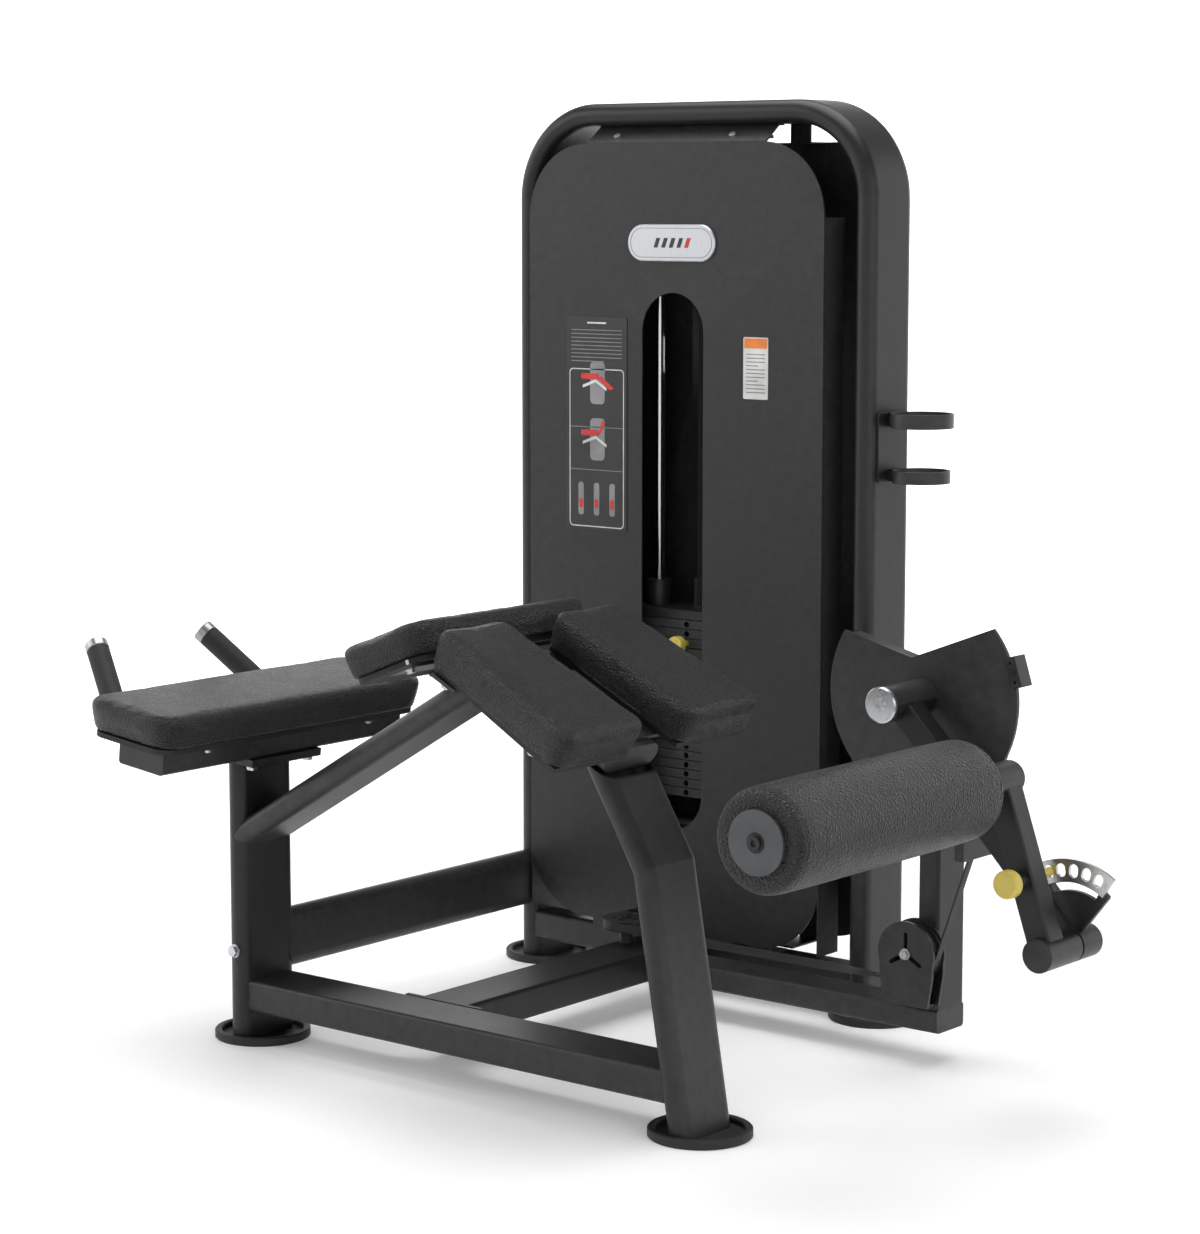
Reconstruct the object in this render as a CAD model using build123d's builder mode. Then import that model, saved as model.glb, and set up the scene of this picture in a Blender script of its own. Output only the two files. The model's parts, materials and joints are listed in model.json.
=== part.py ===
from build123d import *
import os
from math import acos, atan2, cos, degrees, hypot, radians, sin, tan

# Lying leg curl: a bench, a weight tower behind it, and a cam lever that lifts the weights.
# Millimetres. +X runs along the bench to the foot end, +Y back to the tower, +Z up.
# Sizes are set out from the axis of the head post; the finished pieces are then shifted so
# that the origin is on the floor, under the middle of the whole machine.

# ---- overall sizes
TOWER_HEIGHT = 1500.0
TOWER_X = 2.0                 # centre of the tower's head-side leg
TOWER_SPAN = 702.0            # between the centres of the tower's legs
TOWER_Y = 717.0               # tower plane behind the bench centre line
BENCH_LENGTH = 889.0          # head post to the foot of the front leg

# ---- tubes
OVAL_WIDTH = 120.0
OVAL_THICK = 38.0
TUBE_WALL = 3.0
ARCH_BEND = 141.0             # centre-line radius of the tower's top corners
RAIL_WIDTH = 98.0
RAIL_HEIGHT = 50.0
RAIL_Z = 51.5                 # underside of the floor rails
RAIL_ROUND = 6.0
SLIM_WIDTH = 76.0             # base rail and pivot column
SLIM_HEIGHT = 38.0
LINK_HEIGHT = 97.0
LINK_Z = 152.5
FRONT_RAIL_END = 872.0
CROSS_RAIL_X = 346.5
FLANGE_WIDTH = 156.0
FLANGE_THICK = 8.0
FLANGE_BOLT_X = 65.0
FLANGE_BOLT_Z = 13.0
BASE_BEAM_Y = 687.0
BASE_BEAM_Z = 67.0
BASE_RAIL_Y = 562.0
BASE_RAIL_END = 951.0

# ---- feet
FOOT_RADIUS = 77.0
FOOT_HEIGHT = 14.0
FOOT_FLOOR = 5.0
FOOT_POCKET = 66.0

# ---- head end: arm pad on a tilted cross beam
ARM_X = 10.0
ARM_Z = 473.0                 # underside of the cross beam above ARM_X
ARM_TILT = 6.5                # degrees, head side higher
ARM_BEAM_WIDTH = 98.0
ARM_BEAM_HEIGHT = 38.0
ARM_BEAM_LENGTH = 524.0
BEAM_CAP = 3.0
CAP_PLATE_LENGTH = 107.0
CAP_PLATE_WIDTH = 154.0
CAP_PLATE_THICK = 12.0
CAP_BOLT_X = 38.0
CAP_BOLT_Y = 62.0
ARM_PAD_SHIFT = -14.0         # pad centre from the beam centre
ARM_PAD_LENGTH = 196.0
ARM_PAD_WIDTH = 600.0
ARM_PAD_THICK = 52.0
ARM_PAD_CORNER = 45.0
TAB_RADIUS = 17.0
TAB_THICK = 4.0
TAB_FOOT_Y = 180.0            # screw tabs on the foot side of the beam
TAB_HEAD_Y = 130.0
HANDLE_RADIUS = 16.0
GRIP_RADIUS = 18.5
HANDLE_TOP = (-250.0, 117.0, 629.0)
HANDLE_ELBOW = (-128.0, 177.0, 511.0)
HANDLE_ROOT = (-37.0, 184.0, 490.0)
HANDLE_BEND = 45.0
HANDLE_CAP = 16.0             # length of the metal end cap
GRIP_START = 0.12             # share of the elbow-to-end run left bare

# ---- bench
BEAM_SLOPE = 30.37            # diagonal beam
BEAM_START_Z = 334.0
LEG_BEND_X = 822.0
LEG_BEND_Z = 388.0
LEG_TOP_X = 691.0
LEG_TOP_Z = 609.0
THIGH_SLOPE = 26.0
THIGH_X = 540.0               # head edge of the thigh pads' underside
THIGH_Z = 683.0
THIGH_LENGTH = 303.0
THIGH_THICK = 58.0
THIGH_HEAD_IN = 53.0
THIGH_HEAD_OUT = 205.0
THIGH_FOOT_IN = 45.0
THIGH_FOOT_OUT = 233.0
THIGH_CORNER = 26.0
CHEST_SLOPE = 21.0
CHEST_X = 540.0               # foot edge of the chest pad's underside
CHEST_Z = 695.0
CHEST_LENGTH = 180.0
CHEST_HALF = 206.0
CHEST_THICK = 50.0
CHEST_CORNER = 46.0
BOARD_THICK = 8.0
BOARD_INSET = 14.0
PAD_PLATE = 6.0
PAD_ROUND = 14.0
CARRIER_START = 6.0
CARRIER_END = 262.0
CROSS_PLATE_WIDTH = 50.0
CROSS_PLATES = (45.0, 225.0)  # distances of the thigh pads' cross plates down the slope
PAD_BOLTS = (-190.0, -90.0, 90.0, 190.0)
CHEST_BOLT_X = -45.0
CHEST_PLATE_X = -55.0
RISER_X = -90.0
RISER_LENGTH = 90.0
RISER_PLATE_LENGTH = 120.0
CHEST_RISER = 60.0

# ---- tower covers and fittings
SHROUD_LEFT = 22.0
SHROUD_RIGHT = 638.5
REAR_RIGHT = 682.0
SHROUD_BOTTOM = 104.0
SHROUD_TOP = 1433.0
SHROUD_FRONT = 645.3
SHROUD_REAR = 790.5
SHROUD_CORNER = 122.0
SHROUD_FLANGE = 57.0
SHEET = 2.5
WINDOW_X = 332.7
WINDOW_WIDTH = 129.0
WINDOW_BOTTOM = 281.0
WINDOW_TOP = 1186.0
NOTCH_WIDTH = 40.0            # opening in the cover's lower edge for the belt
NOTCH_HEIGHT = 56.0
BRIDGE_LEFT = 148.0
BRIDGE_RIGHT = 520.0
BRIDGE_SCREWS = (204.0, 445.0)
BRIDGE_RISE = 1.5             # the bridge's front edge above the cover's top edge
BRIDGE_SCREW_RUN = 12.0       # bridge screws behind the front edge
MOUNT_SHEET = 3.0
MOUNT_TABS = (160.0, 500.0)   # left edges of the cover's mounting tabs
MOUNT_TAB_WIDTH = 40.0
VENT_HEIGHTS = (1075.0, 360.0)
VENT_PITCH = 28.0
VENT_LENGTH = 62.0
VENT_WIDTH = 13.0
BADGE_X = 331.5
BADGE_Z = 1268.5
BADGE_LENGTH = 183.0
BADGE_HEIGHT = 61.0
BADGE_THICK = 4.0
PLACARD_X = 171.0
PLACARD_Z = 961.5
PLACARD_WIDTH = 131.0
PLACARD_HEIGHT = 363.0
PLACARD_THICK = 1.2
LABEL_X = 505.0
LABEL_Z = 1066.5
LABEL_WIDTH = 50.0
LABEL_HEIGHT = 101.0
LABEL_THICK = 0.8
CUP_X = 782.0
CUP_RING_WALL = 3.0
CUP_RINGS = ((978.0, 23.0, 51.0), (890.0, 20.0, 46.5))    # underside, height, outer radius
CUP_PLATE_Z = 946.0
CUP_PLATE_HEIGHT = 114.0
CUP_PLATE_THICK = 4.0
CUP_ARM_WIDTH = 24.0

# ---- weight stack
STACK_X = 333.0
STACK_Y = 728.0
PLATE_LENGTH = 260.0
PLATE_DEPTH = 84.0
PLATE_PITCH = 16.0
PLATE_BEVEL = 1.2
RESTING_PLATES = 16
LIFTED_PLATES = 4
STACK_Z = 330.0
LIFT_GAP = 0.5
ROD_SPACING = 184.0
ROD_RADIUS = 9.5
ROD_HOLE = 11.0
STEM_RADIUS = 10.0
STEM_HOLE = 12.0
STEM_FOOT = 340.0
SOCKET_HEIGHT = 52.0
SOCKET_SIZE = 26.0
SELECTOR_RADIUS = 4.5
SELECTOR_HOLE = 5.2
SELECTOR_KNOB = 15.0
BUSHING_RADIUS = 22.0
BUSHING_HEIGHT = 44.0
SHELF_Z = 282.0
SHELF_THICK = 6.0
ROD_BAR_Z = 1440.0
ROD_BAR_THICK = 6.0
SHELF_LEG_X = 112.0           # shelf legs either side of the stack's middle
SHELF_LEG_Y = 698.0
PLATE_CORNER = 5.0
COLLAR_HEIGHT = 8.0           # round collar under the belt socket
SELECTOR_KNOB_DEPTH = 16.0

# ---- belt and pulleys
BELT_WIDTH = 14.0
BELT_THICK = 3.0
BELT_Y = 506.0                # plane of the cam and the column pulley
BELT_Z = 135.0                # height of the floor run
RISE_X = 280.0                # the belt rises behind the stack here
RISE_Y = 780.0
FLOOR_TWIST = (850.0, 720.0)  # the belt turns edge-up between these places on its floor run
BACK_TWIST = (600.0, 690.0)   # and flat to the tower between these
RISE_TWIST = (980.0, 1200.0)  # and square to the top pulley between these heights
PULLEY_WIDTH = 18.0
CHEEK_THICK = 4.0
BRACKET_FRONT = 690.0
HOUSING_FRONT = 493.0         # back face of the near cheek of the column pulley's housing
HOUSING_SHEET = 5.0
HOUSING_FOOT = 81.5           # housing's underside below the pulley's centre
FLANGE_LIP = 3.0
GROOVE_CLEAR = 0.4
COLUMN_PULLEY = 46.0          # belt centre radii
CORNER_PULLEY = 37.0
BASE_PULLEY = 37.0
COLUMN_PULLEY_X = 915.0
TOP_PULLEY_Z = 1385.0
AXLE_RADIUS = 6.0
RUN_CLEAR = 0.05              # radial clearance of everything that turns or slides

# ---- lever
PIVOT_X = 938.0
PIVOT_Z = 587.0
COLUMN_X = 932.0
COLUMN_FRONT = 524.0
BEARING_RADIUS = 34.0
BUSH_RADIUS = 20.0
SHAFT_RADIUS = 12.5
CAM_RADIUS = 170.0
CAM_THICK = 6.0
CAM_Y = 490.0
DRUM_RADIUS = 157.0
DRUM_WIDTH = 20.0
NOTCH_X = -20.0               # bottom of the cam's notch, from the pivot
NOTCH_Z = 58.0
NOTCH_LEFT = 165.5            # directions of the notch's two edges, degrees
NOTCH_RIGHT = 21.0
NOTCH_REACH = 260.0           # the cut's edges run this far, past the rim
HUB_RADIUS = 28.0
HUB_Y = 383.0
HUB_CAP = 7.0
LEVER_ANGLE = -46.06
LEVER_REACH = 454.7
LEVER_TUBE = 40.0
LEVER_Y = 412.0
LEVER_SWING = 110.0           # degrees of curl
LOWER_HUB = 25.0
LOWER_FAR_START = 410.0
LOWER_FAR_END = 462.0
LOWER_NEAR_START = 326.0
LOWER_NEAR_END = 405.5
RING_END = 409.6
SPIGOT_RADIUS = 15.0
SECTOR_INNER = 94.0
SECTOR_OUTER = 128.0
SECTOR_THICK = 5.6
SECTOR_LOW = 56.0             # degrees round the lower hub
SECTOR_HIGH = 116.0
FAN_THICK = 8.0
SLOT_INNER = 80.5
SLOT_OUTER = 92.5
PIN_CIRCLE = 111.0
PIN_PITCH = 11.0
PIN_STEPS = 5
PIN_FIRST = 110.0
HOLE_WIDTH = 15.0
HOLE_LENGTH = 20.0
ARM_ANGLE = 108.8
ARM_REACH = 259.2
ARM_Y = 330.0
AXLE_TUBE_END = 374.0
STOP_LEFT = 1049.0
STOP_RIGHT = 1065.0
STOP_BOTTOM = 357.0
STOP_TOP = 415.0
STOP_GAP = 0.6
CLAMP_ANGLE = 17.5
CLAMP_WIDTH = 48.0
CLAMP_INNER = 160.6
CLAMP_OUTER = 181.0
BELT_TAIL = -131.0            # the fixed belt runs back round the drum to here

# ---- roller and pull pin
ROLLER_RADIUS = 74.0
ROLLER_HALF = 248.0
ROLLER_ROUND = 9.0
ROLLER_CAP = 44.5
ROLLER_CAP_THICK = 4.0
ROLLER_CORE = 22.0
ROLLER_AXLE = 14.0
PIN_RADIUS = 7.0
KNOB_RADIUS = 21.0
KNOB_Y = 285.0
KNOB_THICK = 20.0

# ---- values that follow from the sizes above
RIGHT_LEG = TOWER_X + TOWER_SPAN
ARCH_Z = TOWER_HEIGHT - OVAL_THICK / 2
OVAL_FLAT = (OVAL_WIDTH - OVAL_THICK) / 2
RAIL_MID = RAIL_Z + RAIL_HEIGHT / 2
RAIL_TOP = RAIL_Z + RAIL_HEIGHT
BEAM_TOP = BASE_BEAM_Z + RAIL_HEIGHT / 2
SLOPE_TOP_Y = TOWER_Y - OVAL_FLAT - 8.0
SLOPE_TOP_Z = TOWER_HEIGHT - OVAL_THICK
BRIDGE_RUN = SLOPE_TOP_Y + 16.0 - SHROUD_FRONT - SHEET
BRIDGE_ANGLE = atan2(SLOPE_TOP_Z - SHROUD_TOP - BRIDGE_RISE, BRIDGE_RUN)
LEVER_X = cos(radians(LEVER_ANGLE))
LEVER_Z = sin(radians(LEVER_ANGLE))
LOWER_X = PIVOT_X + LEVER_REACH * LEVER_X
LOWER_Z = PIVOT_Z + LEVER_REACH * LEVER_Z
ARM_DIR_X = cos(radians(ARM_ANGLE))
ARM_DIR_Z = sin(radians(ARM_ANGLE))
ROLLER_X = LOWER_X + ARM_REACH * ARM_DIR_X
ROLLER_Z = LOWER_Z + ARM_REACH * ARM_DIR_Z
PIN_X = LOWER_X + PIN_CIRCLE * ARM_DIR_X
PIN_Z = LOWER_Z + PIN_CIRCLE * ARM_DIR_Z
BELT_RADIUS = DRUM_RADIUS + BELT_THICK / 2
COLUMN_PULLEY_Z = BELT_Z + COLUMN_PULLEY
CORNER_X = RISE_X + CORNER_PULLEY
CORNER_Y = BELT_Y + CORNER_PULLEY
BASE_Y = RISE_Y - BASE_PULLEY
BASE_Z = BELT_Z + BASE_PULLEY
TOP_PULLEY = hypot(STACK_X - RISE_X, STACK_Y - RISE_Y) / 2
TOP_X = (STACK_X + RISE_X) / 2
TOP_Y = (STACK_Y + RISE_Y) / 2
ACROSS_X = (RISE_Y - STACK_Y) / TOP_PULLEY / 2      # level direction of the top pulley's axle
ACROSS_Y = (STACK_X - RISE_X) / TOP_PULLEY / 2
LIFTED_Z = STACK_Z + RESTING_PLATES * PLATE_PITCH + LIFT_GAP
STACK_TOP = LIFTED_Z + LIFTED_PLATES * PLATE_PITCH
SELECTOR_Z = LIFTED_Z + PLATE_PITCH / 2
SOCKET_TOP = STACK_TOP + SOCKET_HEIGHT
LIFT_TRAVEL = BELT_RADIUS * radians(LEVER_SWING)
STACK_FRONT = STACK_Y - PLATE_DEPTH / 2
SPAN_X = PIVOT_X - COLUMN_PULLEY_X
SPAN_Z = PIVOT_Z - COLUMN_PULLEY_Z
SPAN = hypot(SPAN_X, SPAN_Z)
# Direction of the point where the belt leaves both the cam and the column pulley.
TANGENT = degrees(atan2(SPAN_Z, SPAN_X)) - degrees(acos((COLUMN_PULLEY - BELT_RADIUS) / SPAN))

# ---- planes of the sloped pieces; their local Y is the machine's Y
arm_slope = radians(ARM_TILT)
arm_plane = Plane(
    origin=(ARM_X, 0, ARM_Z),
    x_dir=(cos(arm_slope), 0, -sin(arm_slope)),
    z_dir=(sin(arm_slope), 0, cos(arm_slope)),
)
thigh_slope = radians(THIGH_SLOPE)
thigh_plane = Plane(
    origin=(THIGH_X, 0, THIGH_Z),
    x_dir=(cos(thigh_slope), 0, -sin(thigh_slope)),
    z_dir=(sin(thigh_slope), 0, cos(thigh_slope)),
)
chest_slope = radians(CHEST_SLOPE)
chest_plane = Plane(
    origin=(CHEST_X, 0, CHEST_Z),
    x_dir=(cos(chest_slope), 0, sin(chest_slope)),
    z_dir=(-sin(chest_slope), 0, cos(chest_slope)),
)
beam_slope = radians(BEAM_SLOPE)
PLATE_DROP = BOARD_THICK + PAD_PLATE

pieces = []


def keep(piece, name):
    """Label a finished piece and put it on the list to be written."""
    piece.part.label = name
    pieces.append(piece.part)


def facing_front(x, y, z):
    """A plane across the machine at y: local X is +X, local Y is +Z, normal towards -Y."""
    return Plane(origin=(x, y, z), x_dir=(1, 0, 0), z_dir=(0, -1, 0))


def facing_back(x, y, z):
    """A plane at y whose normal points to the tower: local X is +X, local Y is -Z."""
    return Plane(origin=(x, y, z), x_dir=(1, 0, 0), z_dir=(0, 1, 0))


def across(x, y, z):
    """A level plane whose local X runs along +Y, for ovals that are long front to back."""
    return Plane(origin=(x, y, z), x_dir=(0, 1, 0), z_dir=(0, 0, 1))


def along(x, z, angle, y=0.0):
    """A plane square to a line that rises at angle in the X-Z plane; its local X is +Y."""
    turn = radians(angle)
    return Plane(origin=(x, y, z), x_dir=(0, 1, 0), z_dir=(cos(turn), 0, sin(turn)))


def oval(plane, width=OVAL_WIDTH, thick=OVAL_THICK):
    """A full flat-oval section."""
    with BuildSketch(plane) as section:
        SlotOverall(width, thick)
    return section.sketch


def oval_ring(plane, width=OVAL_WIDTH, thick=OVAL_THICK):
    """A flat-oval tube section."""
    with BuildSketch(plane) as section:
        SlotOverall(width, thick)
        SlotOverall(width - 2 * TUBE_WALL, thick - 2 * TUBE_WALL, mode=Mode.SUBTRACT)
    return section.sketch


def box_ring(plane, width, height, corner=RAIL_ROUND):
    """A rectangular tube section."""
    with BuildSketch(plane) as section:
        RectangleRounded(width, height, corner)
        Rectangle(width - 2 * TUBE_WALL, height - 2 * TUBE_WALL, mode=Mode.SUBTRACT)
    return section.sketch


def bar(plane, radius, length):
    """A round bar that grows from the plane along its normal."""
    with BuildPart() as made:
        with BuildSketch(plane):
            Circle(radius)
        extrude(amount=length)
    return made.part


def plate(plane, length, width, thick):
    """A flat plate centred on the plane that grows along its normal."""
    with BuildPart() as made:
        with BuildSketch(plane):
            Rectangle(length, width)
        extrude(amount=thick)
    return made.part


def hex_bolt(plane, across_flats, shank):
    """Washer and hexagon head on the plane, shank below it."""
    with BuildPart() as bolt:
        with BuildSketch(plane):
            Circle(across_flats * 0.68)
        extrude(amount=1.6)
        with BuildSketch(plane.offset(1.6)):
            RegularPolygon(across_flats / 2, 6, major_radius=False)
        extrude(amount=across_flats * 0.4)
        with BuildSketch(plane):
            Circle(across_flats * 0.3)
        extrude(amount=-shank)
    return bolt.part


def socket_screw(plane, radius, height, shank):
    """A round head with a hexagon socket, shank below it."""
    with BuildPart() as screw:
        with BuildSketch(plane):
            Circle(radius)
        extrude(amount=height)
        with BuildSketch(plane.offset(height)):
            RegularPolygon(radius * 0.5, 6)
        extrude(amount=-height * 0.6, mode=Mode.SUBTRACT)
        with BuildSketch(plane):
            Circle(radius * 0.5)
        extrude(amount=-shank)
    return screw.part


def belt_run(points):
    """A belt length through (x, y, z, width direction, travel direction) sections."""
    with BuildPart() as run:
        for origin, wide, travel in points:
            with BuildSketch(Plane(origin=origin, x_dir=wide, z_dir=travel)):
                Rectangle(BELT_WIDTH, BELT_THICK)
        loft(ruled=True)
    return run.part


def belt_wrap(plane, radius, start, sweep_angle):
    """A belt length bent round an axis that is the plane's normal."""
    with BuildPart() as wrap:
        with BuildSketch(plane.offset(-BELT_WIDTH / 2)):
            with BuildLine():
                first = CenterArc((0, 0), radius + BELT_THICK / 2, start, sweep_angle)
                second = CenterArc((0, 0), radius - BELT_THICK / 2, start, sweep_angle)
                Line(first @ 0, second @ 0)
                Line(first @ 1, second @ 1)
            make_face()
        extrude(amount=BELT_WIDTH)
    return wrap.part


def flat_pulley(plane, radius):
    """A flanged belt wheel centred on the plane, its axle along the normal."""
    groove = radius - BELT_THICK / 2 - GROOVE_CLEAR
    lip = (PULLEY_WIDTH - BELT_WIDTH) / 2 - GROOVE_CLEAR
    with BuildPart() as wheel:
        with BuildSketch(plane.offset(-PULLEY_WIDTH / 2)):
            Circle(groove)
            Circle(AXLE_RADIUS + RUN_CLEAR, mode=Mode.SUBTRACT)
            with PolarLocations((groove + AXLE_RADIUS) / 2, 5):
                Circle(groove * 0.16, mode=Mode.SUBTRACT)
        extrude(amount=PULLEY_WIDTH)
        for side in (-PULLEY_WIDTH / 2, PULLEY_WIDTH / 2 - lip):
            with BuildSketch(plane.offset(side)):
                Circle(radius + FLANGE_LIP)
                Circle(groove - 0.5, mode=Mode.SUBTRACT)
            extrude(amount=lip)
    return wheel.part


def pulley_bracket(plane, reach, width):
    """Two cheeks either side of a wheel and the axle between them; cheeks run to local -Y."""
    gap = PULLEY_WIDTH / 2 + 1.5
    with BuildPart() as bracket:
        for side in (-gap - CHEEK_THICK, gap):
            with BuildSketch(plane.offset(side)):
                Circle(width / 2)
                with Locations((0, -reach / 2)):
                    Rectangle(width, reach)
            extrude(amount=CHEEK_THICK)
        with BuildSketch(plane.offset(-gap)):
            Circle(AXLE_RADIUS)
        extrude(amount=2 * gap)
    return bracket.part


def sector(inner, outer, start, stop):
    """A closed ring sector round the lower hub, drawn in local X and Y."""
    with BuildSketch() as shape:
        with BuildLine():
            first = CenterArc((0, 0), outer, start, stop - start)
            second = CenterArc((0, 0), inner, start, stop - start)
            Line(first @ 0, second @ 0)
            Line(first @ 1, second @ 1)
        make_face()
    return shape.sketch


# ---- bolts first, so the plates they pass through can be cut round them
def local_point(plane, x, y, z):
    """A point given in a sloped plane's own directions."""
    return plane.from_local_coords((x, y, z))


with BuildPart() as frame_bolts:
    add(hex_bolt(facing_front(0, -OVAL_WIDTH / 2, 150.0), 16.0, 20.0))
    for bolt_x in (-CAP_BOLT_X, CAP_BOLT_X):
        for bolt_y in (-CAP_BOLT_Y, CAP_BOLT_Y):
            spot = local_point(arm_plane, bolt_x, bolt_y, -CAP_PLATE_THICK)
            down = Plane(origin=spot, x_dir=(0, 1, 0), z_dir=-arm_plane.z_dir)
            add(hex_bolt(down, 15.0, CAP_PLATE_THICK + TUBE_WALL))
    for bolt_x in (-FLANGE_BOLT_X, FLANGE_BOLT_X):
        for bolt_z in (-FLANGE_BOLT_Z, FLANGE_BOLT_Z):
            spot = facing_back(
                CROSS_RAIL_X + bolt_x, RAIL_WIDTH / 2 + FLANGE_THICK, RAIL_MID + bolt_z
            )
            add(hex_bolt(spot, 12.0, FLANGE_THICK + TUBE_WALL))
    for bolt_y in (PAD_BOLTS[0], PAD_BOLTS[-1]):
        spot = local_point(chest_plane, CHEST_BOLT_X, bolt_y, -PLATE_DROP)
        down = Plane(origin=spot, x_dir=(0, 1, 0), z_dir=-chest_plane.z_dir)
        add(hex_bolt(down, 12.0, PAD_PLATE + BOARD_THICK))
    for bolt_x in CROSS_PLATES:
        for bolt_y in PAD_BOLTS:
            spot = local_point(thigh_plane, bolt_x, bolt_y, -PLATE_DROP)
            down = Plane(origin=spot, x_dir=(0, 1, 0), z_dir=-thigh_plane.z_dir)
            add(hex_bolt(down, 12.0, PAD_PLATE + BOARD_THICK))
    for side, tab_y in ((-1.0, TAB_HEAD_Y), (1.0, TAB_FOOT_Y)):
        for bolt_y in (-tab_y, tab_y):
            edge = side * (ARM_BEAM_WIDTH / 2 + TAB_RADIUS * 0.45)
            spot = local_point(arm_plane, edge, bolt_y, ARM_BEAM_HEIGHT - TAB_THICK)
            down = Plane(origin=spot, x_dir=(0, 1, 0), z_dir=-arm_plane.z_dir)
            add(hex_bolt(down, 9.0, TAB_THICK + BOARD_THICK))
    add(hex_bolt(facing_front(COLUMN_PULLEY_X, 488.0, COLUMN_PULLEY_Z), 13.0, 5.0))
    for screw_x in BRIDGE_SCREWS:
        screw_y = SHROUD_FRONT + SHEET + BRIDGE_SCREW_RUN
        screw_z = SHROUD_TOP + BRIDGE_RISE + BRIDGE_SCREW_RUN * tan(BRIDGE_ANGLE)
        on_slope = Plane(
            origin=(screw_x, screw_y, screw_z),
            x_dir=(1, 0, 0),
            z_dir=(0, -sin(BRIDGE_ANGLE), cos(BRIDGE_ANGLE)),
        )
        add(bar(on_slope, 6.0, 3.5))
keep(frame_bolts, "frame_bolts")

# ---- feet
with BuildPart() as rubber_feet:
    foot_spots = ((0, 0), (BENCH_LENGTH, 0), (TOWER_X, TOWER_Y), (RIGHT_LEG, TOWER_Y))
    with BuildSketch():
        with Locations(*foot_spots):
            Circle(FOOT_RADIUS)
    extrude(amount=FOOT_HEIGHT)
    with BuildSketch(Plane.XY.offset(FOOT_FLOOR)):
        with Locations(*foot_spots):
            Circle(FOOT_POCKET)
    extrude(amount=FOOT_HEIGHT, mode=Mode.SUBTRACT)
    lower_rims = rubber_feet.edges().filter_by(GeomType.CIRCLE).group_by(Axis.Z)[0]
    chamfer(lower_rims, 2.0)
    upper_rims = rubber_feet.edges().filter_by(GeomType.CIRCLE).group_by(Axis.Z)[-1]
    chamfer(upper_rims, 2.0)
keep(rubber_feet, "rubber_feet")

# ---- tower
with BuildPart() as arch_frame:
    with BuildLine(facing_front(0, TOWER_Y, 0)) as arch_line:
        FilletPolyline(
            (TOWER_X, FOOT_FLOOR),
            (TOWER_X, ARCH_Z),
            (RIGHT_LEG, ARCH_Z),
            (RIGHT_LEG, FOOT_FLOOR),
            radius=ARCH_BEND,
        )
    sweep(sections=oval_ring(across(TOWER_X, TOWER_Y, FOOT_FLOOR)), path=arch_line.wires()[0])
keep(arch_frame, "arch_frame")

with BuildPart() as tower_base_beam:
    beam_plane = along(TOWER_X, BASE_BEAM_Z, 0, BASE_BEAM_Y)
    extrude(box_ring(beam_plane, RAIL_HEIGHT, RAIL_HEIGHT), amount=TOWER_SPAN)
    for leg_x in (TOWER_X, RIGHT_LEG):
        extrude(oval(across(leg_x, TOWER_Y, 0)), amount=200.0, mode=Mode.SUBTRACT)
keep(tower_base_beam, "tower_base_beam")

# ---- bench frame
with BuildPart() as head_post:
    extrude(oval_ring(across(0, 0, FOOT_FLOOR)), amount=ARM_Z)
    split(bisect_by=arm_plane.offset(-CAP_PLATE_THICK), keep=Keep.BOTTOM)
    cap_seat = arm_plane.offset(-CAP_PLATE_THICK)
    add(plate(cap_seat, CAP_PLATE_LENGTH, CAP_PLATE_WIDTH, CAP_PLATE_THICK))
    add(frame_bolts.part, mode=Mode.SUBTRACT)
keep(head_post, "head_post")

with BuildPart() as link_tube:
    with BuildSketch(facing_back(0, OVAL_FLAT, LINK_Z)) as link_section:
        with Locations(Rotation(0, 0, 90)):
            SlotOverall(LINK_HEIGHT, OVAL_THICK)
            SlotOverall(
                LINK_HEIGHT - 2 * TUBE_WALL, OVAL_THICK - 2 * TUBE_WALL, mode=Mode.SUBTRACT
            )
    extrude(amount=TOWER_Y - 2 * OVAL_FLAT)
    extrude(oval(across(0, 0, 0)), amount=400.0, mode=Mode.SUBTRACT)
    extrude(oval(across(TOWER_X, TOWER_Y, 0)), amount=400.0, mode=Mode.SUBTRACT)
keep(link_tube, "link_tube")

leg_angle = degrees(atan2(LEG_BEND_Z - FOOT_FLOOR, LEG_BEND_X - BENCH_LENGTH))
leg_top_angle = degrees(atan2(LEG_TOP_Z - LEG_BEND_Z, LEG_TOP_X - LEG_BEND_X))
leg_mitre = along(LEG_BEND_X, LEG_BEND_Z, (leg_angle + leg_top_angle) / 2)
leg_turn = radians(leg_angle)
with BuildPart() as upper_leg:
    extrude(oval_ring(along(LEG_BEND_X, LEG_BEND_Z, leg_top_angle)), amount=320.0)
    extrude(oval_ring(along(LEG_BEND_X, LEG_BEND_Z, leg_top_angle)), amount=-60.0)
    split(bisect_by=leg_mitre, keep=Keep.TOP)
    split(bisect_by=thigh_plane.offset(-PLATE_DROP - OVAL_THICK), keep=Keep.BOTTOM)

with BuildPart() as front_leg:
    start_x = BENCH_LENGTH - 30.0 * cos(leg_turn)
    start_z = FOOT_FLOOR - 30.0 * sin(leg_turn)
    extrude(oval_ring(along(start_x, start_z, leg_angle)), amount=500.0)
    split(bisect_by=leg_mitre, keep=Keep.BOTTOM)
    split(bisect_by=Plane.XY.offset(FOOT_FLOOR), keep=Keep.TOP)
    add(upper_leg.part)
keep(front_leg, "front_leg")

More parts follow.
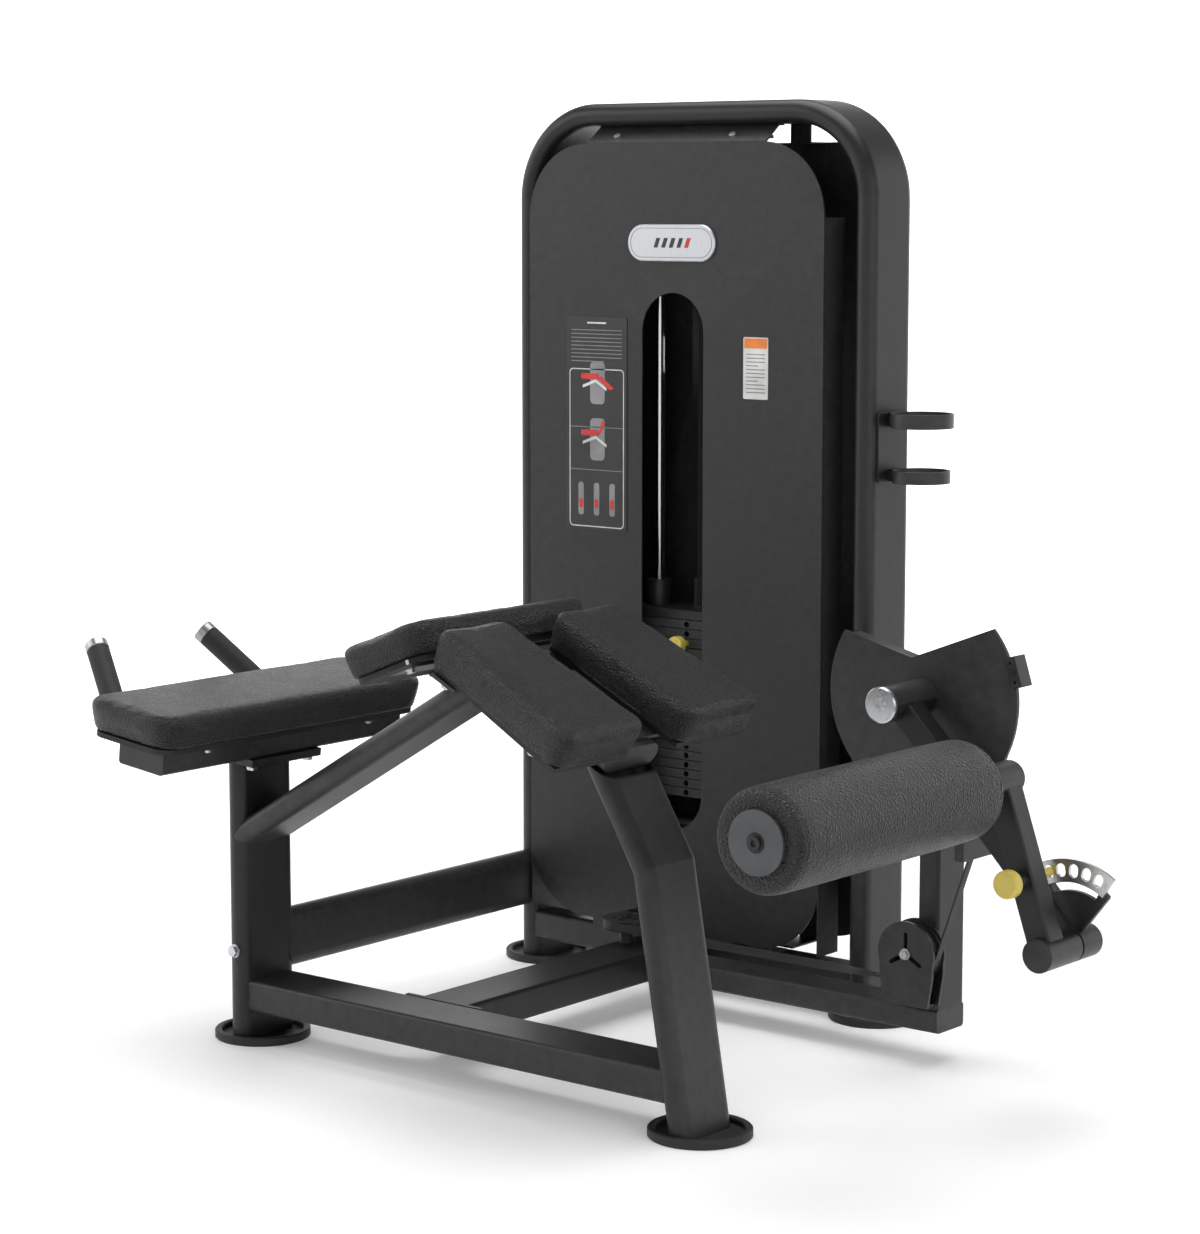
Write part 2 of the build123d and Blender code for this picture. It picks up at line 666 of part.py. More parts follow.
with BuildPart() as diagonal_beam:
    extrude(oval_ring(along(0, BEAM_START_Z, BEAM_SLOPE)), amount=720.0)
    split(bisect_by=thigh_plane.offset(-PLATE_DROP - OVAL_THICK), keep=Keep.BOTTOM)
    extrude(oval(across(0, 0, 0)), amount=700.0, mode=Mode.SUBTRACT)
keep(diagonal_beam, "diagonal_beam")

with BuildPart() as chest_riser:
    with BuildSketch(chest_plane.offset(-PLATE_DROP)):
        with Locations((RISER_X, 0)):
            Rectangle(RISER_LENGTH, CHEST_RISER)
    extrude(amount=-60.0)
    extrude(oval(along(0, BEAM_START_Z, BEAM_SLOPE)), amount=900.0, mode=Mode.SUBTRACT)
    split(bisect_by=along(0, BEAM_START_Z, BEAM_SLOPE + 90.0), keep=Keep.TOP)

with BuildPart() as pad_carrier:
    carrier_mid = -PLATE_DROP - OVAL_THICK / 2
    carrier_start = Plane(
        origin=local_point(thigh_plane, CARRIER_START, 0, carrier_mid),
        x_dir=(0, 1, 0),
        z_dir=thigh_plane.x_dir,
    )
    extrude(oval_ring(carrier_start), amount=CARRIER_END - CARRIER_START)
    for end in (0, CARRIER_END - CARRIER_START - BEAM_CAP):
        extrude(oval(carrier_start.offset(end)), amount=BEAM_CAP)
    for distance in CROSS_PLATES:
        with BuildSketch(thigh_plane.offset(-PLATE_DROP)):
            with Locations((distance, 0)):
                Rectangle(CROSS_PLATE_WIDTH, 2 * THIGH_HEAD_OUT - 10.0)
        extrude(amount=PAD_PLATE)
    with BuildSketch(chest_plane.offset(-PLATE_DROP)):
        with Locations((CHEST_PLATE_X, 0)):
            Rectangle(CROSS_PLATE_WIDTH, 2 * CHEST_HALF - 12.0)
        with Locations((RISER_X, 0)):
            Rectangle(RISER_PLATE_LENGTH, CHEST_RISER + 20.0)
    extrude(amount=PAD_PLATE)
    add(chest_riser.part)
    add(frame_bolts.part, mode=Mode.SUBTRACT)
keep(pad_carrier, "pad_carrier")

with BuildPart() as front_rail:
    extrude(box_ring(along(0, RAIL_MID, 0), RAIL_WIDTH, RAIL_HEIGHT), amount=FRONT_RAIL_END)
    extrude(oval(across(0, 0, 0)), amount=200.0, mode=Mode.SUBTRACT)
    extrude(oval(along(start_x, start_z, leg_angle)), amount=300.0, mode=Mode.SUBTRACT)
    split(bisect_by=along(start_x, start_z, leg_angle - 90.0), keep=Keep.BOTTOM)
    add(frame_bolts.part, mode=Mode.SUBTRACT)
keep(front_rail, "front_rail")

with BuildPart() as cross_rail:
    rail_start = Plane(
        origin=(CROSS_RAIL_X, RAIL_WIDTH / 2, RAIL_MID), x_dir=(1, 0, 0), z_dir=(0, 1, 0)
    )
    rail_run = BASE_BEAM_Y - RAIL_HEIGHT / 2 - RAIL_WIDTH / 2
    extrude(box_ring(rail_start, RAIL_WIDTH + 2.0, RAIL_HEIGHT), amount=rail_run)
    add(plate(rail_start, FLANGE_WIDTH, RAIL_HEIGHT, FLANGE_THICK))
    add(frame_bolts.part, mode=Mode.SUBTRACT)
keep(cross_rail, "cross_rail")

with BuildPart() as base_rail:
    rail_left = CROSS_RAIL_X + RAIL_WIDTH / 2 + 1.0
    slim_start = along(rail_left, RAIL_Z + SLIM_HEIGHT / 2, 0, BASE_RAIL_Y)
    extrude(box_ring(slim_start, SLIM_WIDTH, SLIM_HEIGHT), amount=BASE_RAIL_END - rail_left)
    with BuildSketch(Plane.YZ.offset(BASE_RAIL_END)):
        with Locations((BASE_RAIL_Y, RAIL_Z + SLIM_HEIGHT / 2)):
            Rectangle(SLIM_WIDTH - 2 * TUBE_WALL, SLIM_HEIGHT - 2 * TUBE_WALL)
    extrude(amount=-BEAM_CAP)
keep(base_rail, "base_rail")

with BuildPart() as pivot_column:
    column_foot = across(COLUMN_X, BASE_RAIL_Y, RAIL_Z + SLIM_HEIGHT)
    extrude(box_ring(column_foot, SLIM_WIDTH, SLIM_HEIGHT), amount=PIVOT_Z - RAIL_Z - SLIM_HEIGHT)
    bearing_front = facing_back(PIVOT_X, COLUMN_FRONT, PIVOT_Z)
    add(bar(bearing_front, BEARING_RADIUS, SLIM_WIDTH))
    add(bar(bearing_front, BUSH_RADIUS, SLIM_WIDTH), mode=Mode.SUBTRACT)
keep(pivot_column, "pivot_column")

with BuildPart() as pivot_bushes:
    for bush_y in (COLUMN_FRONT - 4.0, COLUMN_FRONT + SLIM_WIDTH - 26.0):
        add(bar(facing_back(PIVOT_X, bush_y, PIVOT_Z), BUSH_RADIUS, 30.0))
    for collar_y in (COLUMN_FRONT - 4.0, COLUMN_FRONT + SLIM_WIDTH):
        add(bar(facing_back(PIVOT_X, collar_y, PIVOT_Z), BUSH_RADIUS + 6.0, 4.0))
    shaft_hole = bar(facing_back(PIVOT_X, 500.0, PIVOT_Z), SHAFT_RADIUS + RUN_CLEAR, 120.0)
    add(shaft_hole, mode=Mode.SUBTRACT)
keep(pivot_bushes, "pivot_bushes")

with BuildPart() as lever_stop_bracket:
    with BuildSketch(facing_back(0, COLUMN_FRONT, 0)):
        with Locations(((BASE_RAIL_END + STOP_RIGHT) / 2, -(STOP_BOTTOM + STOP_TOP) / 2)):
            Rectangle(STOP_RIGHT - BASE_RAIL_END, STOP_TOP - STOP_BOTTOM)
    extrude(amount=6.0)
    with BuildSketch(facing_back(0, LEVER_Y + 3.0, 0)):
        with Locations(((STOP_LEFT + STOP_RIGHT) / 2, -(STOP_BOTTOM + STOP_TOP) / 2)):
            Rectangle(STOP_RIGHT - STOP_LEFT, STOP_TOP - STOP_BOTTOM)
    extrude(amount=COLUMN_FRONT - LEVER_Y - 3.0)
keep(lever_stop_bracket, "lever_stop_bracket")

# ---- arm beam, handles and pads
with BuildPart() as arm_pad_beam:
    beam_mid = local_point(arm_plane, 0, -ARM_BEAM_LENGTH / 2, ARM_BEAM_HEIGHT / 2)
    beam_end = Plane(origin=beam_mid, x_dir=arm_plane.x_dir, z_dir=(0, 1, 0))
    extrude(box_ring(beam_end, ARM_BEAM_WIDTH, ARM_BEAM_HEIGHT), amount=ARM_BEAM_LENGTH)
    with BuildSketch(arm_plane.offset(ARM_BEAM_HEIGHT - TAB_THICK)):
        for side, tab_y in ((-1.0, TAB_HEAD_Y), (1.0, TAB_FOOT_Y)):
            edge = side * ARM_BEAM_WIDTH / 2
            with Locations((edge, -tab_y), (edge, tab_y)):
                Circle(TAB_RADIUS)
    extrude(amount=TAB_THICK)
    add(frame_bolts.part, mode=Mode.SUBTRACT)
keep(arm_pad_beam, "arm_pad_beam")

with BuildPart() as beam_caps:
    for end in (-BEAM_CAP, ARM_BEAM_LENGTH):
        with BuildSketch(beam_end.offset(end)):
            RectangleRounded(ARM_BEAM_WIDTH, ARM_BEAM_HEIGHT, RAIL_ROUND)
        extrude(amount=BEAM_CAP)
keep(beam_caps, "beam_caps")

handle_run = Vector(*HANDLE_TOP) - Vector(*HANDLE_ELBOW)
grip_start = Vector(*HANDLE_ELBOW) + handle_run * GRIP_START
cap_start = Vector(*HANDLE_TOP) - handle_run.normalized() * HANDLE_CAP
with BuildPart() as handle_tubes:
    with BuildLine():
        FilletPolyline(HANDLE_ROOT, HANDLE_ELBOW, HANDLE_TOP, radius=HANDLE_BEND)
    root_run = Vector(*HANDLE_ELBOW) - Vector(*HANDLE_ROOT)
    with BuildSketch(Plane(origin=HANDLE_ROOT, z_dir=root_run)):
        Circle(HANDLE_RADIUS)
    sweep()
    split(bisect_by=Plane(origin=cap_start, z_dir=handle_run), keep=Keep.BOTTOM)
    mirror(about=Plane.XZ)
    add(arm_pad_beam.part, mode=Mode.SUBTRACT)
    with BuildSketch(beam_end):
        Rectangle(ARM_BEAM_WIDTH - 2.0, ARM_BEAM_HEIGHT)
    extrude(amount=ARM_BEAM_LENGTH, mode=Mode.SUBTRACT)
keep(handle_tubes, "handle_tubes")

with BuildPart() as handle_grips:
    with BuildSketch(Plane(origin=grip_start, z_dir=handle_run)):
        Circle(GRIP_RADIUS)
        Circle(HANDLE_RADIUS, mode=Mode.SUBTRACT)
    extrude(amount=(cap_start - grip_start).length)
    mirror(about=Plane.XZ)
keep(handle_grips, "handle_grips")

with BuildPart() as handle_caps:
    with BuildSketch(Plane(origin=cap_start, z_dir=handle_run)):
        Circle(GRIP_RADIUS + 0.5)
    extrude(amount=HANDLE_CAP)
    chamfer(handle_caps.edges().filter_by(GeomType.CIRCLE), 2.0)
    mirror(about=Plane.XZ)
keep(handle_caps, "handle_caps")

with BuildPart() as pad_boards:
    with BuildSketch(arm_plane.offset(ARM_BEAM_HEIGHT)):
        with Locations((ARM_PAD_SHIFT, 0)):
            RectangleRounded(
                ARM_PAD_LENGTH - 2 * BOARD_INSET,
                ARM_PAD_WIDTH - 2 * BOARD_INSET,
                ARM_PAD_CORNER - BOARD_INSET,
            )
    extrude(amount=BOARD_THICK)
    with BuildSketch(chest_plane.offset(-BOARD_THICK)):
        with Locations((-CHEST_LENGTH / 2, 0)):
            RectangleRounded(
                CHEST_LENGTH - 2 * BOARD_INSET,
                2 * (CHEST_HALF - BOARD_INSET),
                CHEST_CORNER - BOARD_INSET,
            )
    extrude(amount=BOARD_THICK)
    for side in (-1.0, 1.0):
        with BuildSketch(thigh_plane.offset(-BOARD_THICK)):
            Polygon(
                (BOARD_INSET, side * (THIGH_HEAD_IN + BOARD_INSET)),
                (BOARD_INSET, side * (THIGH_HEAD_OUT - BOARD_INSET)),
                (THIGH_LENGTH - BOARD_INSET, side * (THIGH_FOOT_OUT - BOARD_INSET)),
                (THIGH_LENGTH - BOARD_INSET, side * (THIGH_FOOT_IN + BOARD_INSET)),
                align=None,
            )
        extrude(amount=BOARD_THICK)
    add(frame_bolts.part, mode=Mode.SUBTRACT)
keep(pad_boards, "pad_boards")

with BuildPart() as arm_pad:
    with BuildSketch(arm_plane.offset(ARM_BEAM_HEIGHT + BOARD_THICK)):
        with Locations((ARM_PAD_SHIFT, 0)):
            RectangleRounded(ARM_PAD_LENGTH, ARM_PAD_WIDTH, ARM_PAD_CORNER)
    extrude(amount=ARM_PAD_THICK)
    pad_face = Axis((0, 0, 0), tuple(arm_plane.z_dir))
    fillet(arm_pad.faces().sort_by(pad_face)[-1].edges(), PAD_ROUND)
keep(arm_pad, "arm_pad")

with BuildPart() as chest_pad:
    with BuildSketch(chest_plane):
        with Locations((-CHEST_LENGTH / 2, 0)):
            RectangleRounded(CHEST_LENGTH, 2 * CHEST_HALF, CHEST_CORNER)
    extrude(amount=CHEST_THICK)
    pad_face = Axis((0, 0, 0), tuple(chest_plane.z_dir))
    fillet(chest_pad.faces().sort_by(pad_face)[-1].edges(), PAD_ROUND)
keep(chest_pad, "chest_pad")


def thigh_outline(side):
    """One thigh pad's outline, wider at the foot end; side is -1 near and +1 far."""
    with BuildSketch(thigh_plane) as outline:
        Polygon(
            (0, side * THIGH_HEAD_IN),
            (0, side * THIGH_HEAD_OUT),
            (THIGH_LENGTH, side * THIGH_FOOT_OUT),
            (THIGH_LENGTH, side * THIGH_FOOT_IN),
            align=None,
        )
        fillet(outline.vertices(), THIGH_CORNER)
    return outline.sketch


thigh_face = Axis((0, 0, 0), tuple(thigh_plane.z_dir))
with BuildPart() as near_thigh_pad:
    extrude(thigh_outline(-1), amount=THIGH_THICK, dir=thigh_plane.z_dir)
    fillet(near_thigh_pad.faces().sort_by(thigh_face)[-1].edges(), PAD_ROUND)
keep(near_thigh_pad, "near_thigh_pad")

with BuildPart() as far_thigh_pad:
    extrude(thigh_outline(1), amount=THIGH_THICK, dir=thigh_plane.z_dir)
    fillet(far_thigh_pad.faces().sort_by(thigh_face)[-1].edges(), PAD_ROUND)
keep(far_thigh_pad, "far_thigh_pad")


# ---- tower covers and fittings
def cover_outline(plane, left, right):
    """A cover sheet's outline: square at the foot, large rounds at the top corners."""
    with BuildSketch(plane) as outline:
        with Locations(((left + right) / 2, (SHROUD_BOTTOM + SHROUD_TOP) / 2)):
            Rectangle(right - left, SHROUD_TOP - SHROUD_BOTTOM)
        fillet(outline.vertices().group_by(Axis.Z)[-1], SHROUD_CORNER)
    return outline.sketch


with BuildPart() as front_shroud:
    cover_back = facing_front(0, SHROUD_FRONT + SHEET, 0)
    extrude(cover_outline(cover_back, SHROUD_LEFT, SHROUD_RIGHT), amount=SHEET)
    for edge_x in (SHROUD_LEFT + SHEET / 2, SHROUD_RIGHT - SHEET / 2):
        with BuildSketch(Plane.XY.offset(SHROUD_BOTTOM)):
            with Locations((edge_x, SHROUD_FRONT + SHROUD_FLANGE / 2)):
                Rectangle(SHEET, SHROUD_FLANGE)
        extrude(amount=SHROUD_TOP - SHROUD_CORNER - SHROUD_BOTTOM)
    with BuildSketch(cover_back):
        with Locations((WINDOW_X, (WINDOW_BOTTOM + WINDOW_TOP) / 2)):
            SlotOverall(WINDOW_TOP - WINDOW_BOTTOM, WINDOW_WIDTH, rotation=90)
        with Locations((RISE_X, SHROUD_BOTTOM)):
            Rectangle(NOTCH_WIDTH, 2 * NOTCH_HEIGHT)
    extrude(amount=SHEET, mode=Mode.SUBTRACT)
keep(front_shroud, "front_shroud")

with BuildPart() as rear_shroud:
    rear_face = facing_front(0, SHROUD_REAR + SHEET, 0)
    extrude(cover_outline(rear_face, SHROUD_LEFT, REAR_RIGHT), amount=SHEET)
    for edge_x in (SHROUD_LEFT + SHEET / 2, REAR_RIGHT - SHEET / 2):
        with BuildSketch(Plane.XY.offset(SHROUD_BOTTOM)):
            with Locations((edge_x, SHROUD_REAR - 16.0)):
                Rectangle(SHEET, 35.0)
        extrude(amount=SHROUD_TOP - SHROUD_CORNER - SHROUD_BOTTOM)
    with BuildSketch(rear_face):
        for vent_z in VENT_HEIGHTS:
            with GridLocations(VENT_PITCH, 0, 5, 1):
                with Locations((WINDOW_X, vent_z)):
                    SlotOverall(VENT_LENGTH, VENT_WIDTH, rotation=90)
    extrude(amount=SHEET, mode=Mode.SUBTRACT)
keep(rear_shroud, "rear_shroud")

with BuildPart() as shroud_mounts:
    with BuildSketch(Plane.YZ.offset(BRIDGE_LEFT)):
        Polygon(
            (SHROUD_FRONT + SHEET, SHROUD_TOP - 22.0),
            (SHROUD_FRONT + SHEET + MOUNT_SHEET, SHROUD_TOP - 22.0),
            (SHROUD_FRONT + SHEET + MOUNT_SHEET, SHROUD_TOP - 1.0),
            (SLOPE_TOP_Y + 18.0, SLOPE_TOP_Z - MOUNT_SHEET),
            (TOWER_Y - 18.0, SLOPE_TOP_Z - MOUNT_SHEET),
            (TOWER_Y - 18.0, SLOPE_TOP_Z),
            (SLOPE_TOP_Y + 16.0, SLOPE_TOP_Z),
            (SHROUD_FRONT + SHEET, SHROUD_TOP + BRIDGE_RISE),
            align=None,
        )
    extrude(amount=BRIDGE_RIGHT - BRIDGE_LEFT)
    half_sheet = MOUNT_SHEET / 2
    for tab_x in MOUNT_TABS:
        with BuildSketch(Plane.YZ.offset(tab_x)):
            with Locations((SHROUD_FRONT + SHEET + half_sheet, 118.0)):
                Rectangle(MOUNT_SHEET, 52.0)
            with Locations((BASE_BEAM_Y - 14.0, BEAM_TOP + half_sheet)):
                Rectangle(50.6, MOUNT_SHEET)
            with Locations((SHROUD_REAR - half_sheet, 130.0)):
                Rectangle(MOUNT_SHEET, 76.0)
            with Locations((SHROUD_REAR - 40.0, BEAM_TOP + half_sheet)):
                Rectangle(77.0, MOUNT_SHEET)
            with Locations((SHROUD_REAR - half_sheet, SHROUD_TOP - 25.0)):
                Rectangle(MOUNT_SHEET, 50.0)
            with Locations((SHROUD_REAR - 23.0, SHROUD_TOP - half_sheet)):
                Rectangle(46.0, MOUNT_SHEET)
            with Locations((SHROUD_REAR - 44.5, SHROUD_TOP + 13.0)):
                Rectangle(MOUNT_SHEET, SLOPE_TOP_Z - SHROUD_TOP + MOUNT_SHEET)
        extrude(amount=MOUNT_TAB_WIDTH)
    extrude(oval(along(0, ARCH_Z, 0, TOWER_Y)), amount=800.0, mode=Mode.SUBTRACT)
keep(shroud_mounts, "shroud_mounts")

with BuildPart() as badge:
    with BuildSketch(facing_front(0, SHROUD_FRONT, 0)):
        with Locations((BADGE_X, BADGE_Z)):
            SlotOverall(BADGE_LENGTH, BADGE_HEIGHT)
    extrude(amount=BADGE_THICK)
    chamfer(badge.faces().sort_by(Axis.Y)[0].edges(), 1.5)
keep(badge, "badge")

with BuildPart() as placard:
    with BuildSketch(facing_front(0, SHROUD_FRONT, 0)):
        with Locations((PLACARD_X, PLACARD_Z)):
            RectangleRounded(PLACARD_WIDTH, PLACARD_HEIGHT, 6.0)
    extrude(amount=PLACARD_THICK)
keep(placard, "placard")

with BuildPart() as side_label:
    with BuildSketch(facing_front(0, SHROUD_FRONT, 0)):
        with Locations((LABEL_X, LABEL_Z)):
            RectangleRounded(LABEL_WIDTH, LABEL_HEIGHT, 3.0)
    extrude(amount=LABEL_THICK)
keep(side_label, "side_label")

with BuildPart() as cup_holder:
    leg_face = RIGHT_LEG + OVAL_THICK / 2
    with BuildSketch(Plane.YZ.offset(leg_face)):
        with Locations((TOWER_Y, CUP_PLATE_Z)):
            RectangleRounded(2 * OVAL_FLAT, CUP_PLATE_HEIGHT, 8.0)
    extrude(amount=CUP_PLATE_THICK)
    for ring_z, ring_height, ring_radius in CUP_RINGS:
        with BuildSketch(Plane.XY.offset(ring_z)):
            with Locations((CUP_X, TOWER_Y)):
                Circle(ring_radius)
            with Locations(((leg_face + CUP_X) / 2 - 10.0, TOWER_Y)):
                Rectangle(CUP_X - leg_face - 20.0, CUP_ARM_WIDTH)
        extrude(amount=ring_height)
        with BuildSketch(Plane.XY.offset(ring_z)):
            with Locations((CUP_X, TOWER_Y)):
                Circle(ring_radius - CUP_RING_WALL)
        extrude(amount=ring_height, mode=Mode.SUBTRACT)
keep(cup_holder, "cup_holder")

# ---- weight stack
rod_spots = ((STACK_X - ROD_SPACING / 2, STACK_Y), (STACK_X + ROD_SPACING / 2, STACK_Y))


def weight_plates(bottom, count, name):
    """A pile of drilled weight plates, each a solid of its own."""
    with BuildPart() as pile:
        for number in range(count):
            with BuildSketch(Plane.XY.offset(bottom + number * PLATE_PITCH)):
                with Locations((STACK_X, STACK_Y)):
                    RectangleRounded(PLATE_LENGTH, PLATE_DEPTH, PLATE_CORNER)
            extrude(amount=PLATE_PITCH - 0.4)
        rims = pile.faces().filter_by(Axis.Z).edges()
        chamfer(rims, PLATE_BEVEL)
        with BuildSketch(Plane.XY.offset(bottom - 1.0)):
            with Locations(*rod_spots):
                Circle(ROD_HOLE)
            with Locations((STACK_X, STACK_Y)):
                Circle(STEM_HOLE)
        extrude(amount=count * PLATE_PITCH + 2.0, mode=Mode.SUBTRACT)
        for number in range(count):
            hole_z = bottom + (number + 0.5) * PLATE_PITCH
            with BuildSketch(facing_back(STACK_X, STACK_FRONT - 1.0, hole_z)):
                Circle(SELECTOR_HOLE)
            extrude(amount=PLATE_DEPTH / 2, mode=Mode.SUBTRACT)
    pile.part.label = name
    return pile.part


pieces.append(weight_plates(STACK_Z, RESTING_PLATES, "resting_plates"))
pieces.append(weight_plates(LIFTED_Z, LIFTED_PLATES - 1, "lifted_plates"))

with BuildPart() as head_plate:
    head_z = STACK_TOP - PLATE_PITCH
    with BuildSketch(Plane.XY.offset(head_z)):
        with Locations((STACK_X, STACK_Y)):
            RectangleRounded(PLATE_LENGTH, PLATE_DEPTH, PLATE_CORNER)
    extrude(amount=PLATE_PITCH)
    chamfer(head_plate.faces().filter_by(Axis.Z).edges(), PLATE_BEVEL)
    with BuildSketch(Plane.XY.offset(head_z)):
        with Locations(*rod_spots):
            Circle(ROD_HOLE)
    extrude(amount=PLATE_PITCH, mode=Mode.SUBTRACT)
    with BuildSketch(Plane.XY.offset(STEM_FOOT)):
        with Locations((STACK_X, STACK_Y)):
            Circle(STEM_RADIUS)
    extrude(amount=head_z - STEM_FOOT)
    resting_holes = [STACK_Z + (number + 0.5) * PLATE_PITCH for number in range(RESTING_PLATES)]
    lifted_holes = [LIFTED_Z + (number + 0.5) * PLATE_PITCH for number in range(LIFTED_PLATES)]
    for hole_z in resting_holes + lifted_holes:
        if STEM_FOOT < hole_z < head_z:
            with BuildSketch(facing_back(STACK_X, STACK_Y - STEM_RADIUS, hole_z)):
                Circle(SELECTOR_HOLE)
            extrude(amount=2 * STEM_RADIUS, mode=Mode.SUBTRACT)
    with BuildSketch(Plane.XY.offset(STACK_TOP)):
        with Locations((STACK_X, STACK_Y)):
            Circle(SOCKET_SIZE / 2 + 4.0)
    extrude(amount=COLLAR_HEIGHT)
    socket_foot = Plane(
        origin=(STACK_X, STACK_Y, STACK_TOP + COLLAR_HEIGHT),
        x_dir=(ACROSS_X, ACROSS_Y, 0),
        z_dir=(0, 0, 1),
    )
    with BuildSketch(socket_foot):
        RectangleRounded(SOCKET_SIZE, SOCKET_SIZE * 0.6, 3.0)
    extrude(amount=SOCKET_HEIGHT - COLLAR_HEIGHT)
keep(head_plate, "head_plate")

with BuildPart() as guide_bushings:
    with BuildSketch(Plane.XY.offset(STACK_TOP)):
        with Locations(*rod_spots):
            Circle(BUSHING_RADIUS)
            Circle(ROD_RADIUS + RUN_CLEAR, mode=Mode.SUBTRACT)
    extrude(amount=BUSHING_HEIGHT)
keep(guide_bushings, "guide_bushings")

with BuildPart() as guide_rods:
    with BuildSketch(Plane.XY.offset(SHELF_Z + SHELF_THICK)):
        with Locations(*rod_spots):
            Circle(ROD_RADIUS)
    extrude(amount=ROD_BAR_Z - SHELF_Z - SHELF_THICK)
keep(guide_rods, "guide_rods")

with BuildPart() as rubber_bumpers:
    under_x = LEVER_TUBE / 2 / cos(radians(LEVER_ANGLE))
    slope = LEVER_Z / LEVER_X
    left_z = PIVOT_Z + (STOP_LEFT - PIVOT_X) * slope - under_x - STOP_GAP
    right_z = PIVOT_Z + (STOP_RIGHT - PIVOT_X) * slope - under_x - STOP_GAP
    with BuildSketch(facing_back(0, LEVER_Y + 4.0, 0)):
        Polygon(
            (STOP_LEFT, -STOP_TOP),
            (STOP_RIGHT, -STOP_TOP),
            (STOP_RIGHT, -right_z),
            (STOP_LEFT, -left_z),
            align=None,
        )
    extrude(amount=34.0)
    with BuildSketch(Plane.XY.offset(SHELF_Z + SHELF_THICK)):
        with Locations(*rod_spots):
            Circle(BUSHING_RADIUS)
            Circle(ROD_RADIUS, mode=Mode.SUBTRACT)
    extrude(amount=STACK_Z - SHELF_Z - SHELF_THICK)
keep(rubber_bumpers, "rubber_bumpers")

with BuildPart() as stack_frame:
    with BuildSketch(Plane.XY.offset(SHELF_Z)):
        with Locations((STACK_X, STACK_Y - 4.0)):
            Rectangle(PLATE_LENGTH + 20.0, PLATE_DEPTH + 4.0)
        with Locations((STACK_X, STACK_Y)):
            Circle(STEM_HOLE, mode=Mode.SUBTRACT)
    extrude(amount=SHELF_THICK)
    for leg_x in (STACK_X - SHELF_LEG_X, STACK_X + SHELF_LEG_X):
        with BuildSketch(Plane.XY.offset(BEAM_TOP)):
            with Locations((leg_x, SHELF_LEG_Y)):
                Rectangle(28.0, 24.0)
        extrude(amount=SHELF_Z - BEAM_TOP)
    with BuildSketch(Plane.XY.offset(ROD_BAR_Z)):
        with Locations((STACK_X, STACK_Y + 8.0)):
            Rectangle(ROD_SPACING + 40.0, 74.0)
    extrude(amount=ROD_BAR_THICK)
    for tab_x in (STACK_X - 90.0, STACK_X + 90.0):
        with BuildSketch(Plane.XY.offset(ROD_BAR_Z + ROD_BAR_THICK)):
            with Locations((tab_x, TOWER_Y + 6.0)):
                Rectangle(30.0, 44.0)
        extrude(amount=SLOPE_TOP_Z - ROD_BAR_Z - ROD_BAR_THICK)
keep(stack_frame, "stack_frame")

with BuildPart() as selector_pin:
    knob_y = SHROUD_FRONT + SHEET + 4.0
    pin_y = knob_y + SELECTOR_KNOB_DEPTH
    pin_length = STACK_Y + STEM_RADIUS - pin_y
    add(bar(facing_back(STACK_X, pin_y, SELECTOR_Z), SELECTOR_RADIUS, pin_length))
    with BuildSketch(facing_back(STACK_X, knob_y, SELECTOR_Z)):
        Circle(SELECTOR_KNOB)
    extrude(amount=SELECTOR_KNOB_DEPTH)
    fillet(selector_pin.edges().filter_by(GeomType.CIRCLE).sort_by(Axis.Y)[0], 3.0)
    fillet(selector_pin.edges().filter_by(GeomType.CIRCLE).sort_by(SortBy.RADIUS)[-1], 3.0)
keep(selector_pin, "selector_pin")

# ---- belt and pulleys
column_plane = facing_front(COLUMN_PULLEY_X, BELT_Y, COLUMN_PULLEY_Z)
corner_plane = Plane(origin=(CORNER_X, CORNER_Y, BELT_Z))
base_plane = Plane(origin=(RISE_X, BASE_Y, BASE_Z), x_dir=(0, 1, 0), z_dir=(1, 0, 0))
top_plane = Plane(
    origin=(TOP_X, TOP_Y, TOP_PULLEY_Z),
    x_dir=(-ACROSS_Y, ACROSS_X, 0),
    z_dir=(ACROSS_X, ACROSS_Y, 0),
)

for name, wheel_plane, radius in (
    ("column_pulley", column_plane, COLUMN_PULLEY),
    ("corner_pulley", corner_plane, CORNER_PULLEY),
    ("base_pulley", base_plane, BASE_PULLEY),
    ("top_pulley", top_plane, TOP_PULLEY),
):
    wheel = flat_pulley(wheel_plane, radius)
    wheel.label = name
    pieces.append(wheel)

TWIST_STEPS = 4
span_angle = radians(TANGENT)
tangent_x = cos(span_angle)
tangent_z = sin(span_angle)


def twisted(start, stop, travel, first, last):
    """Sections of a belt length whose width direction turns from first to last."""
    begin = Vector(*start)
    finish = Vector(*stop)
    quarter = acos(max(-1.0, min(1.0, Vector(*first).dot(Vector(*last)))))
    sections = []
    for step in range(TWIST_STEPS + 1):
        share = step / TWIST_STEPS
        wide = Vector(*first) * sin((1 - share) * quarter) + Vector(*last) * sin(share * quarter)
        sections.append((begin + (finish - begin) * share, wide, travel))
    return sections


def straight(start, stop, travel, wide):
    """Sections of a belt length that keeps its width direction."""
    return [(start, wide, travel), (stop, wide, travel)]


